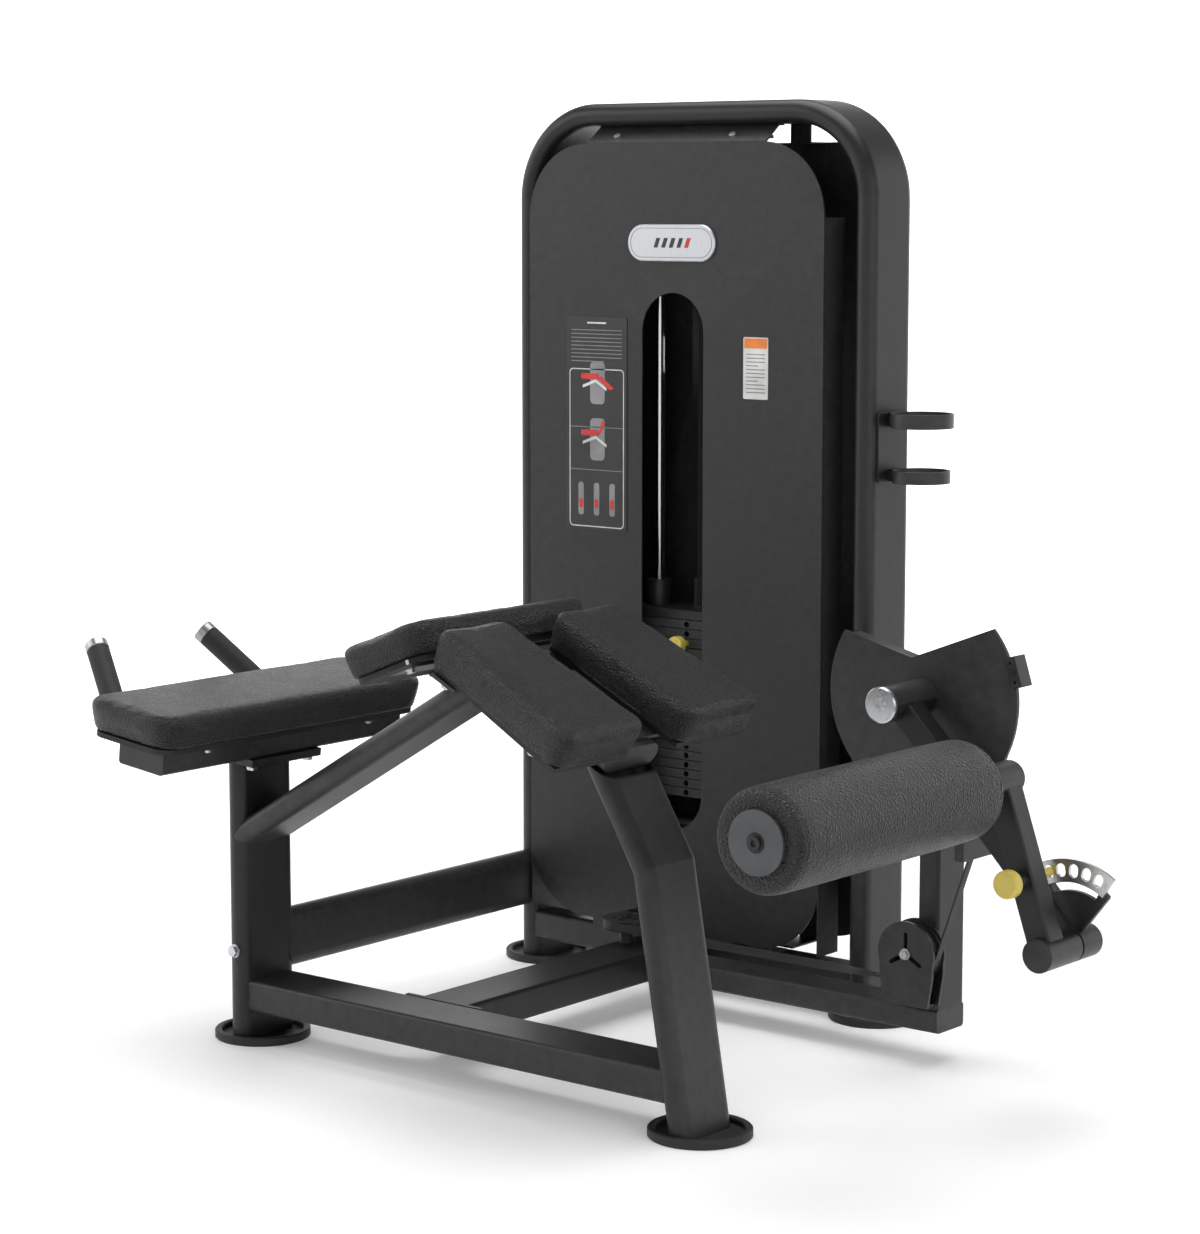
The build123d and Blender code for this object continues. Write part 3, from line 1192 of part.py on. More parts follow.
to_back = (0, 1, 0)
upward = (0, 0, 1)
to_foot = (1, 0, 0)
to_head = (-1, 0, 0)
across_top = (ACROSS_X, ACROSS_Y, 0)
with BuildPart() as drive_belt:
    low_x = COLUMN_PULLEY_X + COLUMN_PULLEY * tangent_x
    low_z = COLUMN_PULLEY_Z + COLUMN_PULLEY * tangent_z
    high_x = PIVOT_X + BELT_RADIUS * tangent_x
    high_z = PIVOT_Z + BELT_RADIUS * tangent_z
    rising = (-tangent_z, 0, tangent_x)
    add(belt_run(straight((low_x, BELT_Y, low_z), (high_x, BELT_Y, high_z), rising, to_back)))
    cam_space = facing_front(PIVOT_X, BELT_Y + DRUM_WIDTH, PIVOT_Z)
    add(bar(cam_space, DRUM_RADIUS + BELT_THICK + 0.35, 2 * DRUM_WIDTH), mode=Mode.SUBTRACT)
    add(belt_wrap(column_plane, COLUMN_PULLEY, TANGENT, -90.0 - TANGENT))
    under_column = (COLUMN_PULLEY_X, BELT_Y, BELT_Z)
    floor_first = (FLOOR_TWIST[0], BELT_Y, BELT_Z)
    floor_last = (FLOOR_TWIST[1], BELT_Y, BELT_Z)
    add(belt_run(straight(under_column, floor_first, to_head, to_back)))
    add(belt_run(twisted(floor_first, floor_last, to_head, to_back, upward)))
    add(belt_run(straight(floor_last, (CORNER_X, BELT_Y, BELT_Z), to_head, upward)))
    add(belt_wrap(corner_plane, CORNER_PULLEY, 180.0, 90.0))
    back_first = (RISE_X, BACK_TWIST[0], BELT_Z)
    back_last = (RISE_X, BACK_TWIST[1], BELT_Z)
    add(belt_run(straight((RISE_X, CORNER_Y, BELT_Z), back_first, to_back, upward)))
    add(belt_run(twisted(back_first, back_last, to_back, upward, to_foot)))
    add(belt_run(straight(back_last, (RISE_X, BASE_Y, BELT_Z), to_back, to_foot)))
    add(belt_wrap(base_plane, BASE_PULLEY, -90.0, 90.0))
    rise_first = (RISE_X, RISE_Y, RISE_TWIST[0])
    rise_last = (RISE_X, RISE_Y, RISE_TWIST[1])
    add(belt_run(straight((RISE_X, RISE_Y, BASE_Z), rise_first, upward, to_foot)))
    add(belt_run(twisted(rise_first, rise_last, upward, to_foot, across_top)))
    add(belt_run(straight(rise_last, (RISE_X, RISE_Y, TOP_PULLEY_Z), upward, across_top)))
    add(belt_wrap(top_plane, TOP_PULLEY, 0.0, 180.0))
keep(drive_belt, "drive_belt")

with BuildPart() as stack_belt:
    belt_foot = Plane(origin=(STACK_X, STACK_Y, SOCKET_TOP), x_dir=across_top, z_dir=(0, 0, 1))
    with BuildSketch(belt_foot):
        Rectangle(BELT_WIDTH, BELT_THICK)
    extrude(amount=TOP_PULLEY_Z - 0.4 - SOCKET_TOP)
keep(stack_belt, "stack_belt")

with BuildPart() as pulley_brackets:
    corner_seat = Plane(origin=(CORNER_X, CORNER_Y, RAIL_TOP), z_dir=(0, 0, 1))
    add(bar(corner_seat, AXLE_RADIUS + 5.0, BELT_Z - PULLEY_WIDTH / 2 - RAIL_TOP - 0.5))
    add(bar(corner_seat, AXLE_RADIUS, BELT_Z + PULLEY_WIDTH / 2 + 4.0 - RAIL_TOP))
    add(hex_bolt(Plane(origin=(CORNER_X, CORNER_Y, BELT_Z + PULLEY_WIDTH / 2 + 1.0)), 15.0, 1.0))
    add(pulley_bracket(base_plane, BASE_Z - BEAM_TOP, 24.0))
    for side in (-14.5, 10.5):
        with BuildSketch(Plane.YZ.offset(RISE_X + side)):
            with Locations(((BASE_Y + BRACKET_FRONT) / 2, BEAM_TOP + 6.0)):
                Rectangle(BASE_Y - BRACKET_FRONT + 24.0, 12.0)
        extrude(amount=CHEEK_THICK)
    with BuildSketch(Plane.XY.offset(BEAM_TOP)):
        with Locations((RISE_X, 700.0)):
            Rectangle(29.0, 24.0)
    extrude(amount=4.0)
    top_hung = Plane(
        origin=(TOP_X, TOP_Y, TOP_PULLEY_Z),
        x_dir=(ACROSS_Y, -ACROSS_X, 0),
        z_dir=(ACROSS_X, ACROSS_Y, 0),
    )
    add(pulley_bracket(top_hung, ROD_BAR_Z - TOP_PULLEY_Z, 24.0))
keep(pulley_brackets, "pulley_brackets")

with BuildPart() as pulley_housing:
    housing_outline = (
        (-48.0, 0.0),
        (-48.0, -32.0),
        (-40.0, -HOUSING_FOOT),
        (41.0, -HOUSING_FOOT),
        (49.0, -32.0),
        (49.0, 0.0),
    )
    for cheek_y in (HOUSING_FRONT, COLUMN_FRONT):
        with BuildSketch(facing_front(COLUMN_PULLEY_X, cheek_y, COLUMN_PULLEY_Z)):
            Circle(COLUMN_PULLEY + 5.0)
            Polygon(*housing_outline, align=None)
            if cheek_y < BELT_Y:
                with PolarLocations(21.0, 3, start_angle=90.0):
                    SlotOverall(26.0, 7.0, mode=Mode.SUBTRACT)
        extrude(amount=HOUSING_SHEET)
    axle_end = facing_back(COLUMN_PULLEY_X, HOUSING_FRONT - 3.0, COLUMN_PULLEY_Z)
    add(bar(axle_end, AXLE_RADIUS, 32.0))
    with BuildSketch(Plane.XY.offset(COLUMN_PULLEY_Z - HOUSING_FOOT)):
        with Locations((COLUMN_PULLEY_X, BELT_Y)):
            Rectangle(70.0, 30.0)
    extrude(amount=4.0)
    add(frame_bolts.part, mode=Mode.SUBTRACT)
keep(pulley_housing, "pulley_housing")

# ---- lever: turns on the pivot column
with BuildPart() as pivot_shaft:
    add(bar(facing_back(PIVOT_X, HUB_Y + 5.0, PIVOT_Z), SHAFT_RADIUS, 240.0))
    collar = facing_back(PIVOT_X, COLUMN_FRONT + SLIM_WIDTH + 5.0, PIVOT_Z)
    add(bar(collar, BUSH_RADIUS + 2.0, 12.0))
keep(pivot_shaft, "pivot_shaft")

lever_line = along(PIVOT_X, PIVOT_Z, LEVER_ANGLE, LEVER_Y + LEVER_TUBE / 2)
with BuildPart() as main_lever:
    extrude(box_ring(lever_line, LEVER_TUBE, LEVER_TUBE, 4.0), amount=LEVER_REACH)
    add(bar(facing_back(PIVOT_X, HUB_Y, PIVOT_Z), HUB_RADIUS, CAM_Y - HUB_Y))
    far_hub = facing_back(LOWER_X, LOWER_FAR_START, LOWER_Z)
    add(bar(far_hub, LOWER_HUB, LOWER_FAR_END - LOWER_FAR_START))
    with BuildSketch(facing_front(LOWER_X, LOWER_FAR_START + SECTOR_THICK + FAN_THICK, LOWER_Z)):
        Polygon((0, 0), (59.0, 76.0), (54.0, 84.0), (-46.0, 88.0), (-22.0, 0.0), align=None)
        add(sector(70.0, SECTOR_INNER + 5.0, SECTOR_LOW - 3.0, SECTOR_HIGH))
        add(sector(SLOT_INNER, SLOT_OUTER, SECTOR_LOW + 6.0, SECTOR_HIGH - 2.0), mode=Mode.SUBTRACT)
    extrude(amount=FAN_THICK)
    with BuildSketch(facing_back(LOWER_X, LOWER_NEAR_START - 3.0, LOWER_Z)):
        Circle(SPIGOT_RADIUS)
    extrude(amount=LOWER_FAR_START - LOWER_NEAR_START + 3.0)
    lever_bore = bar(facing_back(PIVOT_X, HUB_Y, PIVOT_Z), SHAFT_RADIUS, 110.0)
    add(lever_bore, mode=Mode.SUBTRACT)
keep(main_lever, "main_lever")

with BuildPart() as hub_cap:
    with BuildSketch(facing_front(PIVOT_X, HUB_Y, PIVOT_Z)):
        Circle(HUB_RADIUS - 0.3)
    extrude(amount=HUB_CAP)
    chamfer(hub_cap.faces().sort_by(Axis.Y)[0].edges(), 2.0)
    add(socket_screw(facing_front(PIVOT_X, HUB_Y - HUB_CAP, PIVOT_Z), 10.0, 5.0, 4.0))
keep(hub_cap, "hub_cap")


def notched_disc(plane, radius):
    """A disc round the pivot with a V notch in its upper side and a hole for the shaft."""
    right = radians(NOTCH_RIGHT)
    left = radians(NOTCH_LEFT)
    with BuildSketch(plane) as disc:
        Circle(radius)
        Polygon(
            (NOTCH_X, NOTCH_Z),
            (NOTCH_X + NOTCH_REACH * cos(right), NOTCH_Z + NOTCH_REACH * sin(right)),
            (0, 2 * NOTCH_REACH),
            (NOTCH_X + NOTCH_REACH * cos(left), NOTCH_Z + NOTCH_REACH * sin(left)),
            align=None,
            mode=Mode.SUBTRACT,
        )
        Circle(SHAFT_RADIUS, mode=Mode.SUBTRACT)
    return disc.sketch


with BuildPart() as cam_plate:
    cam_back = facing_front(PIVOT_X, CAM_Y + CAM_THICK, PIVOT_Z)
    extrude(notched_disc(cam_back, CAM_RADIUS), amount=CAM_THICK)
keep(cam_plate, "cam_plate")

with BuildPart() as cam_drum:
    drum_back = facing_front(PIVOT_X, CAM_Y + CAM_THICK + DRUM_WIDTH, PIVOT_Z)
    extrude(notched_disc(drum_back, DRUM_RADIUS), amount=DRUM_WIDTH)
keep(cam_drum, "cam_drum")

with BuildPart() as cam_belt:
    cam_middle = facing_front(PIVOT_X, BELT_Y, PIVOT_Z)
    add(belt_wrap(cam_middle, BELT_RADIUS, BELT_TAIL, CLAMP_ANGLE - BELT_TAIL))
keep(cam_belt, "cam_belt")

with BuildPart() as belt_clamp:
    with BuildSketch(facing_front(PIVOT_X, CAM_Y + CAM_THICK + DRUM_WIDTH, PIVOT_Z)):
        with Locations(Rotation(0, 0, CLAMP_ANGLE)):
            with Locations(((CLAMP_INNER + CLAMP_OUTER) / 2, 0)):
                Rectangle(CLAMP_OUTER - CLAMP_INNER, CLAMP_WIDTH)
                with Locations((0, -15.0), (0, 15.0)):
                    Circle(2.5, mode=Mode.SUBTRACT)
    extrude(amount=DRUM_WIDTH + CAM_THICK + 4.0)
    add(bar(facing_back(PIVOT_X, CAM_Y, PIVOT_Z), CAM_RADIUS, DRUM_WIDTH + CAM_THICK), mode=Mode.SUBTRACT)
    clamp_turn = radians(CLAMP_ANGLE)
    clamp_x = PIVOT_X + (CLAMP_INNER + CLAMP_OUTER) / 2 * cos(clamp_turn)
    clamp_z = PIVOT_Z + (CLAMP_INNER + CLAMP_OUTER) / 2 * sin(clamp_turn)
    add(socket_screw(facing_front(clamp_x, CAM_Y - 4.0, clamp_z), 4.0, 2.5, 2.0))
keep(belt_clamp, "belt_clamp")

with BuildPart() as sector_plate:
    with BuildSketch(facing_front(LOWER_X, LOWER_FAR_START + SECTOR_THICK, LOWER_Z)):
        add(sector(SECTOR_INNER, SECTOR_OUTER, SECTOR_LOW, SECTOR_HIGH))
        for step in range(PIN_STEPS):
            with Locations(Rotation(0, 0, PIN_FIRST - step * PIN_PITCH)):
                with Locations((PIN_CIRCLE, 0)):
                    SlotOverall(HOLE_LENGTH, HOLE_WIDTH, mode=Mode.SUBTRACT)
    extrude(amount=SECTOR_THICK)
    rivet_turn = radians(SECTOR_LOW + 3.0)
    rivet_spot = facing_front(
        LOWER_X + PIN_CIRCLE * cos(rivet_turn),
        LOWER_FAR_START,
        LOWER_Z + PIN_CIRCLE * sin(rivet_turn),
    )
    with BuildSketch(rivet_spot):
        Circle(4.0)
        Circle(2.0, mode=Mode.SUBTRACT)
    extrude(amount=1.2)
keep(sector_plate, "sector_plate")

# ---- roller arm: turns on the lever's lower hub
arm_line = along(LOWER_X, LOWER_Z, ARM_ANGLE, ARM_Y + LEVER_TUBE / 2)
with BuildPart() as roller_arm:
    extrude(box_ring(arm_line, LEVER_TUBE, LEVER_TUBE, 4.0), amount=ARM_REACH)
    near_hub = facing_back(LOWER_X, LOWER_NEAR_START, LOWER_Z)
    add(bar(near_hub, LOWER_HUB, LOWER_NEAR_END - LOWER_NEAR_START))
    add(bar(near_hub, SPIGOT_RADIUS + RUN_CLEAR, 200.0), mode=Mode.SUBTRACT)
    add(bar(facing_front(LOWER_X, LOWER_NEAR_START - 3.5, LOWER_Z), LOWER_HUB, 3.0))
    with BuildSketch(facing_front(LOWER_X, LOWER_NEAR_START, LOWER_Z)):
        Circle(LOWER_HUB)
        Circle(LOWER_HUB - 5.0, mode=Mode.SUBTRACT)
    extrude(amount=6.5)
    roller_end = ROLLER_HALF + ROLLER_CAP_THICK + 0.6
    add(bar(facing_back(ROLLER_X, roller_end, ROLLER_Z), LOWER_HUB, AXLE_TUBE_END - roller_end))
    axle_near = facing_back(ROLLER_X, -roller_end, ROLLER_Z)
    add(bar(axle_near, ROLLER_AXLE, 2 * ROLLER_HALF + 40.0))
    add(socket_screw(facing_front(ROLLER_X, -roller_end, ROLLER_Z), 10.0, 4.0, 2.0))
    add(bar(facing_front(PIN_X, ARM_Y + 1.0, PIN_Z), PIN_RADIUS + 6.0, 15.0))
    add(bar(facing_back(PIN_X, ARM_Y - 20.0, PIN_Z), PIN_RADIUS + RUN_CLEAR, 100.0), mode=Mode.SUBTRACT)
keep(roller_arm, "roller_arm")

with BuildPart() as roller_foam:
    foam_start = facing_back(ROLLER_X, -ROLLER_HALF, ROLLER_Z)
    add(bar(foam_start, ROLLER_RADIUS, 2 * ROLLER_HALF))
    fillet(roller_foam.edges().filter_by(GeomType.CIRCLE), ROLLER_ROUND)
    add(bar(foam_start, ROLLER_CORE, 2 * ROLLER_HALF), mode=Mode.SUBTRACT)
keep(roller_foam, "roller_foam")

with BuildPart() as roller_core:
    with BuildSketch(facing_back(ROLLER_X, -ROLLER_HALF, ROLLER_Z)):
        Circle(ROLLER_CORE)
        Circle(ROLLER_AXLE + RUN_CLEAR, mode=Mode.SUBTRACT)
    extrude(amount=2 * ROLLER_HALF)
    for cap_y in (-ROLLER_HALF - ROLLER_CAP_THICK, ROLLER_HALF):
        with BuildSketch(facing_back(ROLLER_X, cap_y, ROLLER_Z)):
            Circle(ROLLER_CAP)
            Circle(ROLLER_AXLE + RUN_CLEAR, mode=Mode.SUBTRACT)
        extrude(amount=ROLLER_CAP_THICK)
keep(roller_core, "roller_core")

with BuildPart() as adjuster_knob:
    with BuildSketch(facing_back(PIN_X, KNOB_Y, PIN_Z)):
        Circle(KNOB_RADIUS)
    extrude(amount=KNOB_THICK)
    fillet(adjuster_knob.edges().filter_by(GeomType.CIRCLE), 5.0)
    knob_back = KNOB_Y + KNOB_THICK
    add(bar(facing_back(PIN_X, knob_back - 1.0, PIN_Z), PIN_RADIUS + 2.5, 6.0))
    add(bar(facing_back(PIN_X, knob_back, PIN_Z), PIN_RADIUS, LOWER_FAR_START - 0.6 - knob_back))
keep(adjuster_knob, "adjuster_knob")

# ---- finish: put the origin on the floor under the middle, then write every piece
os.makedirs("parts", exist_ok=True)
boxes = [piece.bounding_box() for piece in pieces]
middle_x = (min(box.min.X for box in boxes) + max(box.max.X for box in boxes)) / 2
middle_y = (min(box.min.Y for box in boxes) + max(box.max.Y for box in boxes)) / 2
lowest = min(box.min.Z for box in boxes)
SHIFT = (-middle_x, -middle_y, -lowest)
for piece in pieces:
    moved = piece.moved(Location(SHIFT))
    moved.label = piece.label
    export_step(moved, f"parts/{piece.label}.step")
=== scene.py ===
import json
import math

import bmesh
import bpy
from mathutils import Matrix, Vector, noise

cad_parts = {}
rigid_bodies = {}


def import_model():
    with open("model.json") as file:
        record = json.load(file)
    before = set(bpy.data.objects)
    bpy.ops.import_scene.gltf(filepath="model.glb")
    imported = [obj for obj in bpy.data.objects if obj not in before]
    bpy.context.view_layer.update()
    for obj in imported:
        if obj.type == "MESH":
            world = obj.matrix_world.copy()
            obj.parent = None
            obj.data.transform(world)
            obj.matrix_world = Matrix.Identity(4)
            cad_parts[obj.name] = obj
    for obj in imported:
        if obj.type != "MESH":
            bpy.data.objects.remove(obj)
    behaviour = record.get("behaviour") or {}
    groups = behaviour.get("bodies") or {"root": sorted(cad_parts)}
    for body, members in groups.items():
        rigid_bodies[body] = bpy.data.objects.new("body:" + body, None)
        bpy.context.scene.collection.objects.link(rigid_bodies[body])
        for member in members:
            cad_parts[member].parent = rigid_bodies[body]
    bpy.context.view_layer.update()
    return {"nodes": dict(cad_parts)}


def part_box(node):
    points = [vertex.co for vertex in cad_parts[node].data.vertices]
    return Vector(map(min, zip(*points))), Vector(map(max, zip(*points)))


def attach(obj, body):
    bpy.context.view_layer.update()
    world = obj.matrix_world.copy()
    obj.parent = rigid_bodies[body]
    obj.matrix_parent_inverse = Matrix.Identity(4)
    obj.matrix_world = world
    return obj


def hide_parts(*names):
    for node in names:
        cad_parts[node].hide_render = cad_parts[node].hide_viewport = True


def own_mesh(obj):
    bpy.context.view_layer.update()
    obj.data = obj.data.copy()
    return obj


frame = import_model()
nodes = frame["nodes"]

# ---------------------------------------------------------------- camera
camera_data = bpy.data.cameras.new("camera")
camera_data.sensor_fit = "HORIZONTAL"
camera_data.sensor_width = 36.0
camera_data.lens = 96.06
camera_data.clip_end = 100.0
camera = bpy.data.objects.new("camera", camera_data)
camera.location = (3.07866, -3.8179, 1.3398)
camera.rotation_euler = (math.radians(82.57), 0.0, math.radians(39.15))
bpy.context.scene.collection.objects.link(camera)
bpy.context.scene.camera = camera


# ---------------------------------------------------------------- material tools
def new_material(name):
    material = bpy.data.materials.new(name)
    material.use_nodes = True
    tree = material.node_tree
    shader = tree.nodes["Principled BSDF"]
    return material, tree, shader


def texture_space(tree, scale=(1.0, 1.0, 1.0)):
    place = tree.nodes.new("ShaderNodeTexCoord")
    mapping = tree.nodes.new("ShaderNodeMapping")
    mapping.inputs["Scale"].default_value = scale
    tree.links.new(place.outputs["Object"], mapping.inputs["Vector"])
    return mapping.outputs["Vector"]


def add_noise(tree, vector, scale, detail=3.0, rough=0.55):
    node = tree.nodes.new("ShaderNodeTexNoise")
    node.inputs["Scale"].default_value = scale
    node.inputs["Detail"].default_value = detail
    node.inputs["Roughness"].default_value = rough
    tree.links.new(vector, node.inputs["Vector"])
    return node.outputs["Fac"]


def add_cells(tree, vector, scale, feature="DISTANCE_TO_EDGE"):
    node = tree.nodes.new("ShaderNodeTexVoronoi")
    node.feature = feature
    node.inputs["Scale"].default_value = scale
    tree.links.new(vector, node.inputs["Vector"])
    return node.outputs["Distance"]


def ramp(tree, value, stops):
    node = tree.nodes.new("ShaderNodeValToRGB")
    band = node.color_ramp
    band.elements[0].position, band.elements[0].color = stops[0][0], (*stops[0][1], 1.0)
    band.elements[1].position, band.elements[1].color = stops[-1][0], (*stops[-1][1], 1.0)
    for place, colour in stops[1:-1]:
        element = band.elements.new(place)
        element.color = (*colour, 1.0)
    tree.links.new(value, node.inputs["Fac"])
    return node.outputs["Color"]


def spread(tree, value, low, high):
    node = tree.nodes.new("ShaderNodeMapRange")
    node.inputs["To Min"].default_value = low
    node.inputs["To Max"].default_value = high
    tree.links.new(value, node.inputs["Value"])
    return node.outputs["Result"]


def combine(tree, kind, first, second):
    node = tree.nodes.new("ShaderNodeMath")
    node.operation = kind
    for socket, value in zip(node.inputs, (first, second)):
        if isinstance(value, float):
            socket.default_value = value
        else:
            tree.links.new(value, socket)
    return node.outputs["Value"]


def blend_colours(tree, factor, first, second):
    node = tree.nodes.new("ShaderNodeMix")
    node.data_type = "RGBA"
    tree.links.new(factor, node.inputs["Factor"])
    colour_inputs = [socket for socket in node.inputs if socket.type == "RGBA"]
    for socket, value in zip(colour_inputs, (first, second)):
        if isinstance(value, tuple):
            socket.default_value = (*value, 1.0)
        else:
            tree.links.new(value, socket)
    return [socket for socket in node.outputs if socket.type == "RGBA"][0]


def add_bump(tree, shader, height, strength, distance, base_normal=None):
    node = tree.nodes.new("ShaderNodeBump")
    node.inputs["Strength"].default_value = strength
    node.inputs["Distance"].default_value = distance
    tree.links.new(height, node.inputs["Height"])
    if base_normal is not None:
        tree.links.new(base_normal, node.inputs["Normal"])
    tree.links.new(node.outputs["Normal"], shader.inputs["Normal"])


def soft_edges(tree, radius):
    node = tree.nodes.new("ShaderNodeBevel")
    node.samples = 4
    node.inputs["Radius"].default_value = radius
    return node.outputs["Normal"]


def edge_mask(tree, low, high):
    geometry = tree.nodes.new("ShaderNodeNewGeometry")
    node = tree.nodes.new("ShaderNodeMapRange")
    node.inputs["From Min"].default_value = low
    node.inputs["From Max"].default_value = high
    tree.links.new(geometry.outputs["Pointiness"], node.inputs["Value"])
    return node.outputs["Result"]


def painted(name, colour, roughness, edge_radius=0.0012, peel=0.06, metallic=0.0):
    """Powder coat: a fine orange-peel texture, cloudy tone and edges lightened by pointiness, partly rubbed wear and
    partly a painted highlight.
    """
    material, tree, shader = new_material(name)
    space = texture_space(tree)
    cloud = add_noise(tree, space, 7.0, 5.0)
    lighter = tuple(c * 1.10 for c in colour)
    darker = tuple(c * 0.92 for c in colour)
    tone = ramp(tree, cloud, ((0.32, darker), (0.52, colour), (0.72, lighter)))
    # Convex edges are lightened in the base colour: partly rubbed wear, partly a painted edge highlight.
    wear_and_highlight_mask = combine(tree, "MULTIPLY", edge_mask(tree, 0.53, 0.62), add_noise(tree, space, 60.0, 4.0))
    rubbed_and_highlit = tuple(min(1.0, c * 2.6 + 0.02) for c in colour)
    tree.links.new(blend_colours(tree, wear_and_highlight_mask, tone, rubbed_and_highlit), shader.inputs["Base Color"])
    smudge = add_noise(tree, space, 22.0, 6.0, 0.6)
    tree.links.new(spread(tree, smudge, roughness - 0.03, roughness + 0.04), shader.inputs["Roughness"])
    grain = add_noise(tree, space, 900.0, 2.0)
    add_bump(tree, shader, grain, peel, 0.0006, soft_edges(tree, edge_radius))
    shader.inputs["Metallic"].default_value = metallic
    shader.inputs["Specular IOR Level"].default_value = 0.36
    return material


def leather(name, colour, scale=230.0, strength=0.9):
    """Synthetic leather: pebbled cells with fine creases, painted shade in the creases and a painted highlight on the
    crowns, soft sheen and uneven gloss.
    """
    material, tree, shader = new_material(name)
    space = texture_space(tree)
    warp = tree.nodes.new("ShaderNodeTexNoise")
    warp.inputs["Scale"].default_value = 90.0
    tree.links.new(space, warp.inputs["Vector"])
    shift = tree.nodes.new("ShaderNodeVectorMath")
    shift.operation = "MULTIPLY_ADD"
    shift.inputs[1].default_value = (0.004, 0.004, 0.004)
    tree.links.new(warp.outputs["Color"], shift.inputs[0])
    tree.links.new(space, shift.inputs[2])
    cells = add_cells(tree, shift.outputs["Vector"], scale)
    small = add_cells(tree, shift.outputs["Vector"], scale * 2.3)
    rounded = spread(tree, cells, 0.0, 2.6)
    height = combine(tree, "ADD", rounded, combine(tree, "MULTIPLY", small, 0.8))
    # Painted shade and highlight: the cell edges (creases) are darkened and the cell centres (crowns) are lightened in
    # the base colour.
    crease_shade = tuple(c * 0.30 for c in colour)
    crown = tuple(min(1.0, c * 1.35 + 0.003) for c in colour)
    tone = ramp(tree, cells, ((0.0, crease_shade), (0.18, colour), (0.6, crown)))
    cloud = add_noise(tree, space, 9.0, 4.0)
    shade = ramp(tree, cloud, ((0.3, (0.82, 0.82, 0.82)), (0.7, (1.12, 1.12, 1.12))))
    product = tree.nodes.new("ShaderNodeMix")
    product.data_type = "RGBA"
    product.blend_type = "MULTIPLY"
    product.inputs["Factor"].default_value = 1.0
    sockets = [socket for socket in product.inputs if socket.type == "RGBA"]
    tree.links.new(tone, sockets[0])
    tree.links.new(shade, sockets[1])
    result = [socket for socket in product.outputs if socket.type == "RGBA"][0]
    tree.links.new(result, shader.inputs["Base Color"])
    tree.links.new(spread(tree, add_noise(tree, space, 30.0, 4.0), 0.30, 0.46), shader.inputs["Roughness"])
    shader.inputs["Specular IOR Level"].default_value = 0.42
    shader.inputs["Sheen Weight"].default_value = 0.03
    shader.inputs["Sheen Roughness"].default_value = 0.45
    add_bump(tree, shader, height, strength, 0.0030)
    return material


def plastic(name, colour, roughness, grain_scale=600.0, strength=0.12):
    """Moulded plastic or rubber: spark-eroded grain and faint colour drift."""
    material, tree, shader = new_material(name)
    space = texture_space(tree)
    cloud = add_noise(tree, space, 18.0, 4.0)
    tone = ramp(
        tree, cloud, ((0.3, tuple(c * 0.78 for c in colour)), (0.7, tuple(min(1.0, c * 1.22) for c in colour)))
    )
    tree.links.new(tone, shader.inputs["Base Color"])
    tree.links.new(spread(tree, add_noise(tree, space, 45.0, 5.0), roughness - 0.08, roughness + 0.08),
                   shader.inputs["Roughness"])
    add_bump(tree, shader, add_noise(tree, space, grain_scale, 3.0), strength, 0.0005, soft_edges(tree, 0.0008))
    return material


def metal(name, colour, roughness, stretch=(1.0, 1.0, 60.0), strength=0.10):
    """Bare metal: drawn lines along one direction, smudges and a soft edge."""
    material, tree, shader = new_material(name)
    space = texture_space(tree, stretch)
    lines = add_noise(tree, space, 35.0, 6.0, 0.7)
    tone = ramp(
        tree, lines, ((0.3, tuple(c * 0.86 for c in colour)), (0.7, tuple(min(1.0, c * 1.08) for c in colour)))
    )
    tree.links.new(tone, shader.inputs["Base Color"])
    smudge = add_noise(tree, texture_space(tree), 25.0, 5.0)
    tree.links.new(spread(tree, smudge, max(0.02, roughness - 0.06), roughness + 0.08), shader.inputs["Roughness"])
    shader.inputs["Metallic"].default_value = 1.0
    add_bump(tree, shader, lines, strength, 0.0004, soft_edges(tree, 0.0006))
    return material


PAINT = (0.0090, 0.0091, 0.0093)
COVER = (0.0100, 0.0101, 0.0103)
frame_paint = painted("frame_paint_coat", PAINT, 0.40, 0.0022)
cover_paint = painted("cover_sheet_coat", COVER, 0.46, 0.0010, 0.05)
cam_paint = painted("cam_coat", (0.0090, 0.0091, 0.0093), 0.38, 0.0008)
dark_paint = painted("inner_coat", (0.008, 0.008, 0.0085), 0.5, 0.001)
cast = painted("weight_coat", (0.012, 0.012, 0.013), 0.55, 0.0010, 0.22)
upholstery = leather("pebbled_leather", (0.0105, 0.0106, 0.0109))
roller_skin = leather("roller_leather", (0.0110, 0.0111, 0.0114), 170.0, 1.0)
rubber = plastic("black_rubber_compound", (0.010, 0.010, 0.0105), 0.62, 500.0, 0.2)
grip_foam = plastic("grip_rubber", (0.011, 0.011, 0.012), 0.70, 800.0, 0.35)
moulding = plastic("black_moulding", (0.013, 0.013, 0.014), 0.5)
cap_grey = plastic("roller_cap_moulding", (0.055, 0.058, 0.064), 0.42)
belt_black = plastic("woven_belt", (0.006, 0.006, 0.0065), 0.55, 1200.0, 0.3)
yellow = plastic("yellow_moulding", (0.56, 0.45, 0.085), 0.38, 300.0, 0.05)
board_stain = plastic("stained_board", (0.010, 0.009, 0.008), 0.7, 200.0, 0.3)
chrome = metal("polished_chrome", (0.72, 0.73, 0.75), 0.12)
satin_chrome = metal("satin_cap", (0.66, 0.67, 0.69), 0.26, (1.0, 1.0, 1.0))
bright_steel = metal("zinc_steel", (0.55, 0.56, 0.58), 0.30, (1.0, 1.0, 1.0))
sector_steel = metal("brushed_sector", (0.58, 0.58, 0.59), 0.28, (40.0, 1.0, 1.0), 0.2)
